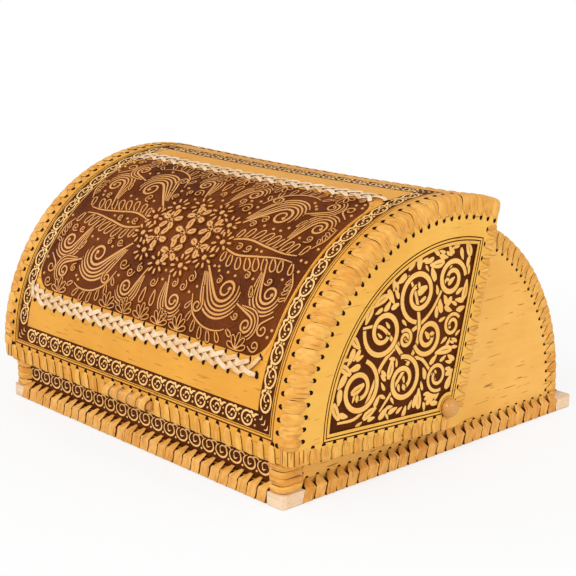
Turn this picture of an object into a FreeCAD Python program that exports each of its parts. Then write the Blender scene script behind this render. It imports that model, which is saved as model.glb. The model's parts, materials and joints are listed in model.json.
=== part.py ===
import FreeCAD, Part
import math
import os

# Birch bark bread box: a half-round body on a lath base, with a roll-over lid that turns on two
# wooden pegs and slides up over the rounded back. Everything is laced with strips of bark.
# Millimetres. X is the width, Y runs from the front (-Y) to the back (+Y), Z is up, z = 0 is the table.

# ---------------------------------------------------------------- driving dimensions
base_width = 360.0            # over the side laths
base_depth = 343.0            # over the front and rear laths
lath_height = 11.0
lath_lower_chamfer = 1.5
wrap_top = 15.5               # the laths' strips rise to here at the walls
front_lath_thickness = 7.0
side_lath_thickness = 7.0
base_corner_radius = 5.0      # worn outer corners of the lath frame
board_thickness = 6.0
board_clearance = 4.0         # air under the bottom board

wall_thickness = 3.0          # several plies of bark
post_width = 9.5              # corner posts at the front, along X inside the walls
post_depth = 14.5             # and along Y
post_proud = 4.0              # how far they stand out from both walls
post_corner_radius = 6.0
post_corner_turns = (0.0, 30.0, 60.0, 90.0)

pivot_height = 43.5           # height of the lid's pegs
pivot_offset = -6.0           # pegs, measured back from the middle of the base
lid_front_overhang = 1.5      # lid face beyond the front lath
lid_side_overhang = 10.0      # lid side beyond the side lath
lid_bottom_height = 36.4      # underside of the lid's front edge
lid_rear_angle = 70.0         # top rear edge, seen from the pegs, up from +Y
lid_open_angle = 65.0         # how far the lid rolls back

shell_ply = 2.5               # outer bark of the lid
lining_ply = 2.0              # inner bark of the lid

side_inner_ply = 2.5          # plies of each lid side
side_backing_ply = 0.8        # dark sheet let into the window of the carved ply
side_carved_ply = 4.0
side_corner_back = 14.0       # lower rear corner of the lid side, behind and below the peg
side_corner_down = 18.5
side_corner_radius = 6.0
window_inset = 18.5           # plain margin of the carved ply along its straight edges
window_peg_margin = 12.5      # and round the peg
window_arc_inset = 33.0       # the same along the arc, measured from the peg radius

back_centre_forward = 5.5     # centre of the back's arc, from the pegs
back_centre_down = 19.5
back_over_lining = 5.0        # radius of the back beyond the lid's lining
back_front_reach = 16.0       # front edge of the back shell, behind the pegs
back_rim_depth = 12.0
back_rim_thickness = 6.0

rim_lath_height = 8.5         # inner lath along the lid's lower front edge
rim_lath_thickness = 6.0

peg_radius = 4.5
peg_head_radius = 8.0
peg_head_rise = 7.5
peg_head_turns = (0.0, 36.0, 67.5)   # edges of the domed head's whittled facets, up from its rim
peg_head_sides = 12
peg_running_gap = 0.08
peg_fixed_gap = 0.04
spacer_reach = 9.2            # from the peg's middle to the flats of the eight-sided disc
block_size = 28.0
block_thickness = 12.0
peg_inner_end = 2.0           # peg beyond the inner face of the block that it is glued into
body_gap = 0.4                # between pieces that move past each other
rest_gap = 0.3                # between the closed lid and what it rests on
seat_gap = 0.02               # under a strip that lies on a curved face

strip_thickness = 0.9         # bark lacing
strip_width_share = 0.78      # of the pitch
base_wrap_count = 28
side_wrap_count = 25
post_to_wraps = 0.5           # along the side laths, from the corner posts to the first strip
back_stitch_count = 25
back_stitch_reach = 12.0
arc_stitch_count = 26
arc_stitch_reach_shell = 12.0
arc_stitch_reach_side = 14.0
edge_stitch_count = 29
edge_stitch_reach = 11.5
bottom_stitch_count = 13
rear_pair_count = 12
side_stitch_reach = 11.0      # outside; shorter inside, clear of the spacer
side_stitch_reach_inside = 6.0
rear_strip_width = 3.1
rear_pair_slant = 6.0         # degrees either side of square

grip_length = 62.0
grip_height = 11.4
grip_rise = 6.5
grip_lashing_count = 5
grip_centre_above_edge = 6.1

panel_thickness = 0.8         # tooled sheet on the middle of the lid
panel_half_width = 150.0
panel_corner_radius = 20.0
panel_front_arc = 62.0        # arc lengths up from the lid's lower front edge
panel_rear_arc = 231.0
braid_width = 14.0
braid_thickness = 1.6

post_wrap_count = 3
post_wrap_gap = 0.4           # from the lath to the lowest wrap
post_wrap_share = 0.86        # of the pitch
post_wrap_thickness = 1.8     # two strips, one over the other

# ---------------------------------------------------------------- places worked out from them
half_width = base_width / 2.0
half_depth = base_depth / 2.0
wall_x = half_width - side_lath_thickness            # outer face of the body's sides
wall_front = -half_depth + front_lath_thickness      # outer face of the front panel
board_top = board_clearance + board_thickness
base_bare_front = side_lath_thickness + post_width   # bare wood at the ends of the front and rear laths
base_bare_side = front_lath_thickness + post_depth + post_to_wraps   # and at the side laths' ends

lid_x = half_width + lid_side_overhang
pivot_y = pivot_offset
pivot_z = pivot_height
lid_radius = half_depth + lid_front_overhang + pivot_y
shell_inner = lid_radius - shell_ply
lining_inner = shell_inner - lining_ply
lid_front_angle = 180.0 + math.degrees(math.asin((pivot_z - lid_bottom_height) / lid_radius))
side_thickness = side_inner_ply + side_carved_ply
side_x = lid_x - side_thickness                      # inner face of the lid's sides

back_radius = lining_inner + back_over_lining
back_y = pivot_y - back_centre_forward
back_z = pivot_z - back_centre_down
rear_wall = back_y + back_radius
back_front_y = pivot_y + back_front_reach
back_front_angle = math.degrees(math.acos((back_front_y - back_y) / back_radius))

closed_stop = lid_bottom_height - strip_thickness - rest_gap   # top of the posts and front panel
strip_lift = 0.05                                    # wraps under the laths stay off the table
lath_rebate = strip_lift + strip_thickness

grip_front = pivot_y - lid_radius - grip_rise - strip_thickness
centre_shift = -(grip_front + half_depth + strip_thickness) / 2.0   # puts the whole box's middle on Y = 0

X_AXIS = FreeCAD.Vector(1, 0, 0)
Y_AXIS = FreeCAD.Vector(0, 1, 0)
Z_AXIS = FreeCAD.Vector(0, 0, 1)
nodes = {}


# ---------------------------------------------------------------- shared geometry
def keep(name, *solids):
    """Store a node: one solid, or a group of separate solids."""
    nodes[name] = solids[0] if len(solids) == 1 else Part.makeCompound(list(solids))


def block(x0, x1, y0, y1, z0, z1):
    return Part.makeBox(x1 - x0, y1 - y0, z1 - z0, FreeCAD.Vector(x0, y0, z0))


def radial(angle):
    """Unit vector in the YZ plane, angle up from +Y."""
    a = math.radians(angle)
    return FreeCAD.Vector(0, math.cos(a), math.sin(a))


def along(angle):
    """Unit tangent in the YZ plane, towards a growing angle."""
    return radial(angle + 90.0)


def on_arc(centre_y, centre_z, radius, angle, x=0.0):
    return FreeCAD.Vector(x, centre_y, centre_z) + radial(angle) * radius


def arc_between(centre_y, centre_z, radius, start, end, x=0.0):
    middle = (start + end) / 2.0
    points = [on_arc(centre_y, centre_z, radius, a, x) for a in (start, middle, end)]
    return Part.Arc(*points).toShape()


def line(a, b):
    return Part.makeLine(a, b)


def extrude_x(edges, x0, x1):
    """Extrude a closed outline, drawn at x = 0, from x0 to x1."""
    face = Part.Face(Part.Wire(edges))
    solid = face.extrude(X_AXIS * (x1 - x0))
    solid.translate(X_AXIS * x0)
    return solid


def polygon_x(points, x0, x1):
    return extrude_x([line(p, q) for p, q in zip(points, points[1:] + points[:1])], x0, x1)


def bent_band(centre_y, centre_z, inner, outer, start, end, x0, x1):
    """A band of a cylinder: between two radii, two angles and two places along X."""
    edges = [
        arc_between(centre_y, centre_z, outer, start, end),
        line(on_arc(centre_y, centre_z, outer, end), on_arc(centre_y, centre_z, inner, end)),
        arc_between(centre_y, centre_z, inner, end, start),
        line(on_arc(centre_y, centre_z, inner, start), on_arc(centre_y, centre_z, outer, start)),
    ]
    return extrude_x(edges, x0, x1)


def prism(points, origin, u_axis, v_axis, w_axis, width):
    """Extrude a polygon, given in the u and v axes about origin, by width centred on w."""
    start = origin - w_axis * (width / 2.0)
    corners = [start + u_axis * u + v_axis * v for u, v in points]
    return Part.Face(Part.makePolygon(corners + corners[:1])).extrude(w_axis * width)


def strip_profile(path):
    """Outline of a bark strip laid along a path of (u, v) points, its thickness left of the way."""
    normals = []
    for (u0, v0), (u1, v1) in zip(path, path[1:]):
        length = math.hypot(u1 - u0, v1 - v0)
        normals.append(((v0 - v1) / length, (u1 - u0) / length))
    outer = []
    for (u, v), (a, b), (c, d) in zip(path, normals[:1] + normals, normals + normals[-1:]):
        mitre = strip_thickness / (1.0 + a * c + b * d)
        outer.append((u + (a + c) * mitre, v + (b + d) * mitre))
    return outer + path[::-1]


def corner_profile(first_leg, second_leg):
    """A strip that turns square over one outer corner at the origin; legs towards -u and -v."""
    return strip_profile([(-first_leg, 0.0), (0.0, 0.0), (0.0, -second_leg)])


def clip_profile(first_leg, gap, second_leg):
    """A strip bent round an edge at the origin: legs run towards -u, gap apart in v."""
    return strip_profile([(-first_leg, 0.0), (0.0, 0.0), (0.0, -gap), (-second_leg, -gap)])


def spread(start, end, count):
    """Centres of count equal pitches between start and end."""
    pitch = (end - start) / count
    return [start + pitch * (i + 0.5) for i in range(count)]


def mirror_x(shape):
    return shape.mirror(FreeCAD.Vector(0, 0, 0), X_AXIS)


def keep_pair(name, make):
    """Store NAME_right as made and NAME_left as its mirror image."""
    right = make()
    keep(name + "_right", *right)
    keep(name + "_left", *[mirror_x(s) for s in right])


def peg_bore(radius, x0, x1):
    """Cutter for a hole round the right-hand peg."""
    return Part.makeCylinder(radius, x1 - x0, FreeCAD.Vector(x0, pivot_y, pivot_z), X_AXIS)


def octagon(reach, x0, x1):
    """Eight-sided prism round the right-hand peg; reach is the distance to its flats."""
    radius = reach / math.cos(math.radians(22.5))
    return polygon_x([on_arc(pivot_y, pivot_z, radius, 22.5 + 45.0 * i) for i in range(8)], x0, x1)


def faceted(rings):
    """Solid with flat facets between equal polygons, one at each level."""
    faces = [Part.Face(Part.makePolygon(ring + ring[:1])) for ring in (rings[0], rings[-1])]
    for low, high in zip(rings, rings[1:]):
        for i in range(len(low)):
            corners = [low[i - 1], low[i], high[i], high[i - 1]]
            faces.append(Part.Face(Part.makePolygon(corners + corners[:1])))
    return Part.makeSolid(Part.makeShell(faces))


# ---------------------------------------------------------------- the base
def frame_envelope():
    """Outer form of the four laths together: worn corners and chamfered lower edges."""
    low = lath_lower_chamfer
    depth_outline = [(-half_depth + low, 0.0), (-half_depth, low), (-half_depth, lath_height),
                     (half_depth, lath_height), (half_depth, low), (half_depth - low, 0.0)]
    width_outline = [(-half_width + low, 0.0), (-half_width, low), (-half_width, lath_height),
                     (half_width, lath_height), (half_width, low), (half_width - low, 0.0)]
    origin = FreeCAD.Vector(0, 0, 0)
    along_x = prism(depth_outline, origin, Y_AXIS, Z_AXIS, X_AXIS, base_width)
    along_y = prism(width_outline, origin, X_AXIS, Z_AXIS, Y_AXIS, base_depth)
    plan = block(-half_width, half_width, -half_depth, half_depth, 0.0, lath_height)
    upright = [e for e in plan.Edges if abs(e.Vertexes[0].Z - e.Vertexes[-1].Z) > lath_height / 2.0]
    return plan.makeFillet(base_corner_radius, upright).common(along_x).common(along_y)


def lath_blanks():
    """Front, rear and right-hand lath before they are rebated for the strips."""
    envelope = frame_envelope()
    front = block(-half_width, half_width, -half_depth, wall_front, 0.0, lath_height)
    rear = block(-half_width, half_width, rear_wall, half_depth, 0.0, lath_height)
    side = block(wall_x, half_width, wall_front, rear_wall, 0.0, lath_height)
    return [lath.common(envelope) for lath in (front, rear, side)]


def base_laths():
    wrapped_x = half_width - base_bare_front
    wrapped_front = -half_depth + base_bare_side
    wrapped_rear = half_depth - base_bare_side
    front, rear, side = lath_blanks()
    rebate_ends = block(-wrapped_x, wrapped_x, -half_depth - 1.0, half_depth + 1.0, -1.0, lath_rebate)
    rebate_side = block(wall_x - 1.0, half_width + 1.0, wrapped_front, wrapped_rear, -1.0, lath_rebate)
    keep("base_lath_front", front.cut(rebate_ends))
    keep("base_lath_rear", rear.cut(rebate_ends))
    keep_pair("base_lath", lambda: [side.cut(rebate_side)])


def base_board():
    board = block(-wall_x + wall_thickness, wall_x - wall_thickness,
                  wall_front + wall_thickness, rear_wall - wall_thickness, board_clearance, board_top)
    keep("base_board", board)


def wrap_profile(lath_thickness):
    """Strip round a lath: from its hole in the wall over the outer edge, down and back underneath."""
    bottom = lath_rebate - lath_height
    return strip_profile([(-lath_thickness, wrap_top - lath_height), (0.0, 0.0),
                          (0.0, bottom), (-lath_thickness, bottom)])


def base_wraps():
    wrapped_x = half_width - base_bare_front
    stations = spread(-wrapped_x, wrapped_x, base_wrap_count)
    width = strip_width_share * 2.0 * wrapped_x / base_wrap_count
    top = lath_height
    front_profile = wrap_profile(front_lath_thickness)
    rear_profile = wrap_profile(half_depth - rear_wall)
    keep("lacing_base_front", *[
        prism(front_profile, FreeCAD.Vector(x, -half_depth, top), -Y_AXIS, Z_AXIS, X_AXIS, width)
        for x in stations])
    keep("lacing_base_rear", *[
        prism(rear_profile, FreeCAD.Vector(x, half_depth, top), Y_AXIS, Z_AXIS, X_AXIS, width)
        for x in stations])

    def side_wraps():
        start = -half_depth + base_bare_side
        end = half_depth - base_bare_side
        side_width = strip_width_share * (end - start) / side_wrap_count
        profile = wrap_profile(side_lath_thickness)
        return [prism(profile, FreeCAD.Vector(half_width, y, top), X_AXIS, Z_AXIS, Y_AXIS, side_width)
                for y in spread(start, end, side_wrap_count)]

    keep_pair("lacing_base", side_wraps)


# ---------------------------------------------------------------- the body
def front_panel():
    inner_x = wall_x - post_width
    keep("front_panel", block(-inner_x, inner_x, wall_front, wall_front + wall_thickness,
                              board_clearance, closed_stop))


def corner_posts():
    front, rear, side = lath_blanks()

    def outline(grow):
        """Post in plan with its outer corner whittled round, grown outwards for the wraps."""
        x1 = wall_x + post_proud + grow
        y0 = wall_front - post_proud - grow
        radius = post_corner_radius + grow
        turns = [math.radians(turn) for turn in post_corner_turns]
        corner = [(x1 - radius + radius * math.sin(t), y0 + radius - radius * math.cos(t)) for t in turns]
        return ([(wall_x - post_width, y0)] + corner
                + [(x1, wall_front + post_depth), (wall_x - post_width, wall_front + post_depth)])

    def stick(grow, z0, z1):
        """A length of the post; where it stands proud it rests on the laths."""
        corners = [FreeCAD.Vector(x, y, z0) for x, y in outline(grow)]
        length = Part.Face(Part.makePolygon(corners + corners[:1])).extrude(Z_AXIS * (z1 - z0))
        return length.cut(front).cut(side)

    def wraps():
        start = lath_height + post_wrap_gap
        pitch = (closed_stop - start) / post_wrap_count
        bands = []
        for i in range(post_wrap_count):
            z0 = start + pitch * i
            z1 = z0 + pitch * post_wrap_share
            bands.append(stick(post_wrap_thickness, z0, z1).cut(stick(0.0, z0, z1)))
        return bands

    keep_pair("corner_post", lambda: [stick(0.0, board_top, closed_stop)])
    keep_pair("post_wrap", wraps)


def back_shell():
    inner = back_radius - wall_thickness
    edges = [
        arc_between(back_y, back_z, back_radius, back_front_angle, 0.0),
        line(on_arc(back_y, back_z, back_radius, 0.0), FreeCAD.Vector(0, rear_wall, board_clearance)),
        line(FreeCAD.Vector(0, rear_wall, board_clearance),
             FreeCAD.Vector(0, rear_wall - wall_thickness, board_clearance)),
        line(FreeCAD.Vector(0, rear_wall - wall_thickness, board_clearance),
             on_arc(back_y, back_z, inner, 0.0)),
        arc_between(back_y, back_z, inner, 0.0, back_front_angle),
        line(on_arc(back_y, back_z, inner, back_front_angle),
             on_arc(back_y, back_z, back_radius, back_front_angle)),
    ]
    keep("back_shell", extrude_x(edges, -wall_x, wall_x))
    rim_sweep = math.degrees(back_rim_depth / inner)
    keep("back_shell_rim", bent_band(back_y, back_z, inner - back_rim_thickness, inner,
                                     back_front_angle - rim_sweep, back_front_angle,
                                     -wall_x + wall_thickness, wall_x - wall_thickness))


def body_sides():
    def panel():
        inner = back_radius - wall_thickness
        front_y = wall_front + post_depth
        top_rear = on_arc(back_y, back_z, inner, back_front_angle)
        shoulder = FreeCAD.Vector(0, front_y, pivot_z)
        reach = (pivot_y - front_y + (top_rear - FreeCAD.Vector(0, pivot_y, pivot_z)).Length) / 2.0
        crown = on_arc(pivot_y, pivot_z, reach, 135.0)
        edges = [
            line(FreeCAD.Vector(0, front_y, board_clearance), shoulder),
            Part.Arc(shoulder, crown, top_rear).toShape(),
            arc_between(back_y, back_z, inner, back_front_angle, 0.0),
            line(on_arc(back_y, back_z, inner, 0.0),
                 FreeCAD.Vector(0, rear_wall - wall_thickness, board_clearance)),
            line(FreeCAD.Vector(0, rear_wall - wall_thickness, board_clearance),
                 FreeCAD.Vector(0, front_y, board_clearance)),
        ]
        plate = extrude_x(edges, wall_x - wall_thickness, wall_x)
        return [plate.cut(peg_bore(peg_radius + peg_fixed_gap, wall_x - wall_thickness - 1.0, wall_x + 1.0))]

    keep_pair("body_side", panel)


def back_path(distance):
    """Point on the back's outer face and its outward angle, by distance up from the arc's foot."""
    if distance < 0.0:
        return FreeCAD.Vector(0, rear_wall, back_z + distance), 0.0
    angle = math.degrees(distance / back_radius)
    return on_arc(back_y, back_z, back_radius, angle), angle


def back_lacing():
    def stitches():
        foot = wrap_top + strip_thickness + 1.0 - back_z
        crown = back_radius * math.radians(back_front_angle)
        width = strip_width_share * (crown - foot) / back_stitch_count
        profile = corner_profile(back_stitch_reach, back_stitch_reach)
        pieces = []
        for distance in spread(foot, crown, back_stitch_count):
            point, angle = back_path(distance)
            origin = point + X_AXIS * wall_x + radial(angle) * seat_gap
            pieces.append(prism(profile, origin, X_AXIS, radial(angle), along(angle), width))
        return pieces

    keep_pair("lacing_back", stitches)


# ---------------------------------------------------------------- the hinge
def hinge_pieces():
    head_x = lid_x + seat_gap + strip_thickness + rest_gap
    inner_x = wall_x - wall_thickness

    def peg():
        start_x = inner_x - block_thickness - peg_inner_end
        shaft = Part.makeCylinder(peg_radius, head_x - start_x,
                                  FreeCAD.Vector(start_x, pivot_y, pivot_z), X_AXIS)
        rings = []
        for turn in [math.radians(turn) for turn in peg_head_turns]:
            x = head_x + peg_head_rise * math.sin(turn)
            radius = peg_head_radius * math.cos(turn)
            rings.append([on_arc(pivot_y, pivot_z, radius, 360.0 * i / peg_head_sides, x)
                          for i in range(peg_head_sides)])
        return shaft.fuse(faceted(rings)).Solids[0]

    def spacer():
        disc = octagon(spacer_reach, wall_x, side_x - body_gap)
        return disc.cut(peg_bore(peg_radius + peg_fixed_gap, wall_x - 1.0, side_x))

    def backing_block():
        half = block_size / 2.0
        pad = block(inner_x - block_thickness, inner_x, pivot_y - half, pivot_y + half,
                    pivot_z - half, pivot_z + half)
        return pad.cut(peg_bore(peg_radius + peg_fixed_gap, inner_x - block_thickness - 1.0, inner_x + 1.0))

    for name, make in (("hinge_pegs", peg), ("hinge_spacers", spacer),
                       ("hinge_blocks", backing_block)):
        right = make()
        keep(name, right, mirror_x(right))


# ---------------------------------------------------------------- the lid
def lid_shell():
    shell = bent_band(pivot_y, pivot_z, shell_inner, lid_radius, lid_rear_angle, lid_front_angle,
                      -lid_x, lid_x)
    keep("lid_shell", shell)
    keep("lid_lining", bent_band(pivot_y, pivot_z, lining_inner, shell_inner, lid_rear_angle,
                                 lid_front_angle, -lid_x, lid_x))


def side_corner():
    return FreeCAD.Vector(0, pivot_y + side_corner_back, pivot_z - side_corner_down)


def side_front():
    return on_arc(pivot_y, pivot_z, lining_inner, lid_front_angle)


def side_top():
    return on_arc(pivot_y, pivot_z, lining_inner, lid_rear_angle)


def side_outline():
    """Lid side: straight lower edge, arc under the shell, straight rear edge, rounded corner."""
    corner, front, top = side_corner(), side_front(), side_top()
    to_front = (front - corner).normalize()
    to_top = (top - corner).normalize()
    half_turn = to_front.getAngle(to_top) / 2.0
    setback = side_corner_radius / math.tan(half_turn)
    bisector = (to_front + to_top).normalize()
    nearest = corner + bisector * (side_corner_radius / math.sin(half_turn) - side_corner_radius)
    start = corner + to_front * setback
    end = corner + to_top * setback
    return [
        line(start, front),
        arc_between(pivot_y, pivot_z, lining_inner, lid_front_angle, lid_rear_angle),
        line(top, end),
        Part.Arc(end, nearest, start).toShape(),
    ]


def inset_line(a, b, inset, inside):
    """Point and direction of the line a-b moved by inset towards the point inside."""
    direction = (b - a).normalize()
    normal = FreeCAD.Vector(0, -direction.z, direction.y)
    if normal.dot(inside - a) < 0.0:
        normal = -normal
    return a + normal * inset, direction


def cross_lines(p, d, q, e):
    denominator = d.y * e.z - d.z * e.y
    step = ((q.y - p.y) * e.z - (q.z - p.z) * e.y) / denominator
    return p + d * step


def cross_circle(p, d, radius):
    """Where the line leaves the circle round the pivot, going along d."""
    offset = p - FreeCAD.Vector(0, pivot_y, pivot_z)
    b = offset.dot(d)
    c = offset.dot(offset) - radius * radius
    return p + d * (-b + math.sqrt(b * b - c))


def angle_of(point):
    return math.degrees(math.atan2(point.z - pivot_z, point.y - pivot_y)) % 360.0


def window_outline():
    """Opening of the carved ply, inside its plain margin."""
    corner, front, top = side_corner(), side_front(), side_top()
    inside = on_arc(pivot_y, pivot_z, lining_inner / 2.0, (lid_front_angle + lid_rear_angle) / 2.0)
    radius = lining_inner - window_arc_inset
    low, low_way = inset_line(corner, front, window_inset, inside)
    back, back_way = inset_line(corner, top, window_inset, inside)
    inner_corner = cross_lines(low, low_way, back, back_way)
    front_point = cross_circle(low, low_way, radius)
    top_point = cross_circle(back, back_way, radius)
    return [
        line(inner_corner, front_point),
        arc_between(pivot_y, pivot_z, radius, angle_of(front_point), angle_of(top_point)),
        line(top_point, inner_corner),
    ]


def lid_sides():
    x1 = side_x + side_inner_ply

    def ply(x_start, x_end, hole):
        """One ply of the side; hole makes the cutter for its opening at the peg."""
        plate = extrude_x(side_outline(), x_start, x_end)
        return plate.cut(hole(x_start - 1.0, x_end + 1.0))

    def bearing(x_start, x_end):
        return peg_bore(peg_radius + peg_running_gap, x_start, x_end)

    def clear_hole(x_start, x_end):
        return octagon(peg_radius + body_gap, x_start, x_end)

    def window(x_start, x_end):
        opening = extrude_x(window_outline(), x_start, x_end)
        return opening.cut(octagon(window_peg_margin, x_start - 1.0, x_end + 1.0))

    keep_pair("lid_side", lambda: [ply(side_x, x1, bearing)])
    keep_pair("lid_side_backing", lambda: [window(x1, x1 + side_backing_ply)])
    keep_pair("lid_side_carved", lambda: [ply(x1, lid_x, clear_hole).cut(window(x1 - 1.0, lid_x + 1.0))])


def lid_rim_lath():
    y0 = on_arc(pivot_y, pivot_z, lining_inner, lid_front_angle).y + seat_gap
    keep("lid_rim_lath", block(-side_x, side_x, y0, y0 + rim_lath_thickness,
                               lid_bottom_height, lid_bottom_height + rim_lath_height))


def lid_arc_lacing():
    def stitches():
        width_angle = (lid_front_angle - lid_rear_angle) / arc_stitch_count
        width = strip_width_share * math.radians(width_angle) * (lid_radius - arc_stitch_reach_side)
        profile = corner_profile(arc_stitch_reach_shell, arc_stitch_reach_side)
        pieces = []
        for angle in spread(lid_rear_angle, lid_front_angle, arc_stitch_count):
            origin = on_arc(pivot_y, pivot_z, lid_radius + seat_gap, angle, lid_x)
            pieces.append(prism(profile, origin, X_AXIS, radial(angle), along(angle), width))
        return pieces

    keep_pair("lacing_lid_arc", stitches)


def edge_stations():
    return spread(-lid_x, lid_x, edge_stitch_count)


def lid_edge_lacing():
    width = strip_width_share * 2.0 * lid_x / edge_stitch_count
    inner_y = on_arc(pivot_y, pivot_z, lining_inner, lid_front_angle).y + seat_gap + rim_lath_thickness
    front_y = pivot_y - lid_radius - seat_gap
    profile = clip_profile(edge_stitch_reach, inner_y - front_y, rim_lath_height)
    inner_limit = side_x - strip_thickness - width / 2.0
    grip_limit = (grip_length + width) / 2.0
    keep("lacing_lid_front", *[
        prism(profile, FreeCAD.Vector(x, front_y, lid_bottom_height), -Z_AXIS, -Y_AXIS, X_AXIS, width)
        for x in edge_stations() if grip_limit < abs(x) < inner_limit])

    reach_angle = math.degrees(edge_stitch_reach / lid_radius)
    middle = lid_rear_angle + reach_angle / 2.0
    sag = edge_stitch_reach * edge_stitch_reach / (8.0 * lining_inner)
    edge = on_arc(pivot_y, pivot_z, lid_radius + seat_gap, middle)
    edge = edge - along(middle) * (lid_radius * math.sin(math.radians(reach_angle / 2.0)))
    edge = edge - along(middle) * seat_gap
    gap = lid_radius - lining_inner + 2.0 * seat_gap + sag
    rear_profile = clip_profile(edge_stitch_reach, gap, edge_stitch_reach)
    keep("lacing_lid_rear", *[
        prism(rear_profile, edge + X_AXIS * x, -along(middle), radial(middle), X_AXIS, width)
        for x in edge_stations() if abs(x) < inner_limit])


def lid_side_lacing():
    corner, front, top = side_corner(), side_front(), side_top()
    gap = side_thickness + 2.0 * seat_gap

    def strip(start, way, outward, station, width, lean, profile):
        """One strip over the edge at a station, its outer leg leaning by an angle along the edge."""
        turn = math.radians(lean)
        leg = outward * math.cos(turn) + way * math.sin(turn)
        across = way * math.cos(turn) - outward * math.sin(turn)
        lift = seat_gap + width / 2.0 * abs(math.sin(turn))
        origin = start + way * station + outward * lift + X_AXIS * (lid_x + seat_gap)
        return prism(profile, origin, leg, X_AXIS, across, width)

    def edge_frame(start, end, inside):
        way = (end - start).normalize()
        outward = FreeCAD.Vector(0, -way.z, way.y)
        if outward.dot(inside - start) > 0.0:
            outward = -outward
        return way, outward, (end - start).Length

    def bottom():
        way, outward, length = edge_frame(corner, front, top)
        start = side_corner_radius + side_stitch_reach / 2.0
        end = length - arc_stitch_reach_side
        width = strip_width_share * (end - start) / bottom_stitch_count
        profile = clip_profile(side_stitch_reach, gap, side_stitch_reach_inside)
        return [strip(corner, way, outward, station, width, 0.0, profile)
                for station in spread(start, end, bottom_stitch_count)]

    def rear():
        way, outward, length = edge_frame(corner, top, front)
        start = side_corner_radius + side_stitch_reach
        end = length - arc_stitch_reach_side
        width = rear_strip_width
        spread_out = width / 2.0 + seat_gap + side_stitch_reach * math.sin(math.radians(rear_pair_slant))
        profile = corner_profile(side_stitch_reach, gap)
        pieces = []
        for station in spread(start, end, rear_pair_count):
            for side in (-1.0, 1.0):
                pieces.append(strip(corner, way, outward, station + side * spread_out, width,
                                    side * rear_pair_slant, profile))
        return pieces

    keep_pair("lacing_side_bottom", bottom)
    keep_pair("lacing_side_rear", rear)


def grip_outline(grow):
    """Whittled stick seen from its end, flat against the shell; grown outwards for its lashing."""
    y0 = pivot_y - lid_radius - seat_gap
    centre_z = lid_bottom_height + grip_centre_above_edge
    half = grip_height / 2.0 + grow
    front = y0 - grip_rise - grow
    shoulder = y0 - grip_rise * 0.55 - grow
    flat = half * 0.4
    return [
        FreeCAD.Vector(0, y0, centre_z - half),
        FreeCAD.Vector(0, shoulder, centre_z - half * 0.85),
        FreeCAD.Vector(0, front, centre_z - flat),
        FreeCAD.Vector(0, front, centre_z + flat),
        FreeCAD.Vector(0, shoulder, centre_z + half * 0.85),
        FreeCAD.Vector(0, y0, centre_z + half),
    ]


def lid_grip():
    inner = grip_outline(0.0)
    keep("lid_grip", polygon_x(inner, -grip_length / 2.0, grip_length / 2.0))
    pitch = grip_length / grip_lashing_count
    width = strip_width_share * pitch
    ring = grip_outline(strip_thickness) + inner[::-1]
    keep("grip_lashing", *[
        polygon_x(ring, x - width / 2.0, x + width / 2.0)
        for x in spread(-grip_length / 2.0, grip_length / 2.0, grip_lashing_count)])


def arc_angle(length):
    """Angle of a point on the lid, by arc length up from its lower front edge."""
    return lid_front_angle - math.degrees(length / lid_radius)


def corner_cutter(side, angle, inwards):
    """Removes the sheet's sharp corner outside a rounded one; drawn in the plane of the corner."""
    r = panel_corner_radius
    over = 0.3
    corner = on_arc(pivot_y, pivot_z, lid_radius - r, angle, side * panel_half_width)
    across = X_AXIS * -side
    way = along(angle) * inwards
    start = corner + across * r - way * over
    end = corner + way * r - across * over
    nearest = corner + (across + way) * (r * (1.0 - math.sqrt(0.5)))
    outside = corner - (across + way) * r
    edges = [
        Part.Arc(start, nearest, end).toShape(),
        line(end, outside),
        line(outside, start),
    ]
    return Part.Face(Part.Wire(edges)).extrude(radial(angle) * (2.0 * r))


def lid_centre():
    outer = lid_radius + panel_thickness
    front = arc_angle(panel_front_arc)
    rear = arc_angle(panel_rear_arc)
    sheet = bent_band(pivot_y, pivot_z, lid_radius, outer, rear, front, -panel_half_width, panel_half_width)
    for side in (-1.0, 1.0):
        for angle, inwards in ((rear, 1.0), (front, -1.0)):
            sheet = sheet.cut(corner_cutter(side, angle, inwards))
    keep("lid_centre_panel", sheet)
    half_braid = math.degrees(braid_width / 2.0 / lid_radius)
    for name, middle in (("front_braid", front), ("rear_braid", rear)):
        keep(name, bent_band(pivot_y, pivot_z, outer, outer + braid_thickness,
                             middle - half_braid, middle + half_braid,
                             -panel_half_width, panel_half_width))


# ---------------------------------------------------------------- build and write
for build in (base_laths, base_board, base_wraps, front_panel, corner_posts, back_shell, body_sides,
              back_lacing, hinge_pieces, lid_shell, lid_sides, lid_rim_lath, lid_arc_lacing,
              lid_edge_lacing, lid_side_lacing, lid_grip, lid_centre):
    build()

os.makedirs("parts", exist_ok=True)
for name, shape in nodes.items():
    shape.translate(Y_AXIS * centre_shift)
    shape.exportStep(os.path.join("parts", name + ".step"))
print(len(nodes), "nodes,", sum(len(s.Solids) for s in nodes.values()), "solids")
print("pivot at y", round(pivot_y + centre_shift, 3), "z", round(pivot_z, 3))
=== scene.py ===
import json
import math
import random

import bmesh
import bpy
import numpy as np
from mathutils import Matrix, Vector
from mathutils.geometry import tessellate_polygon


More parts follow.
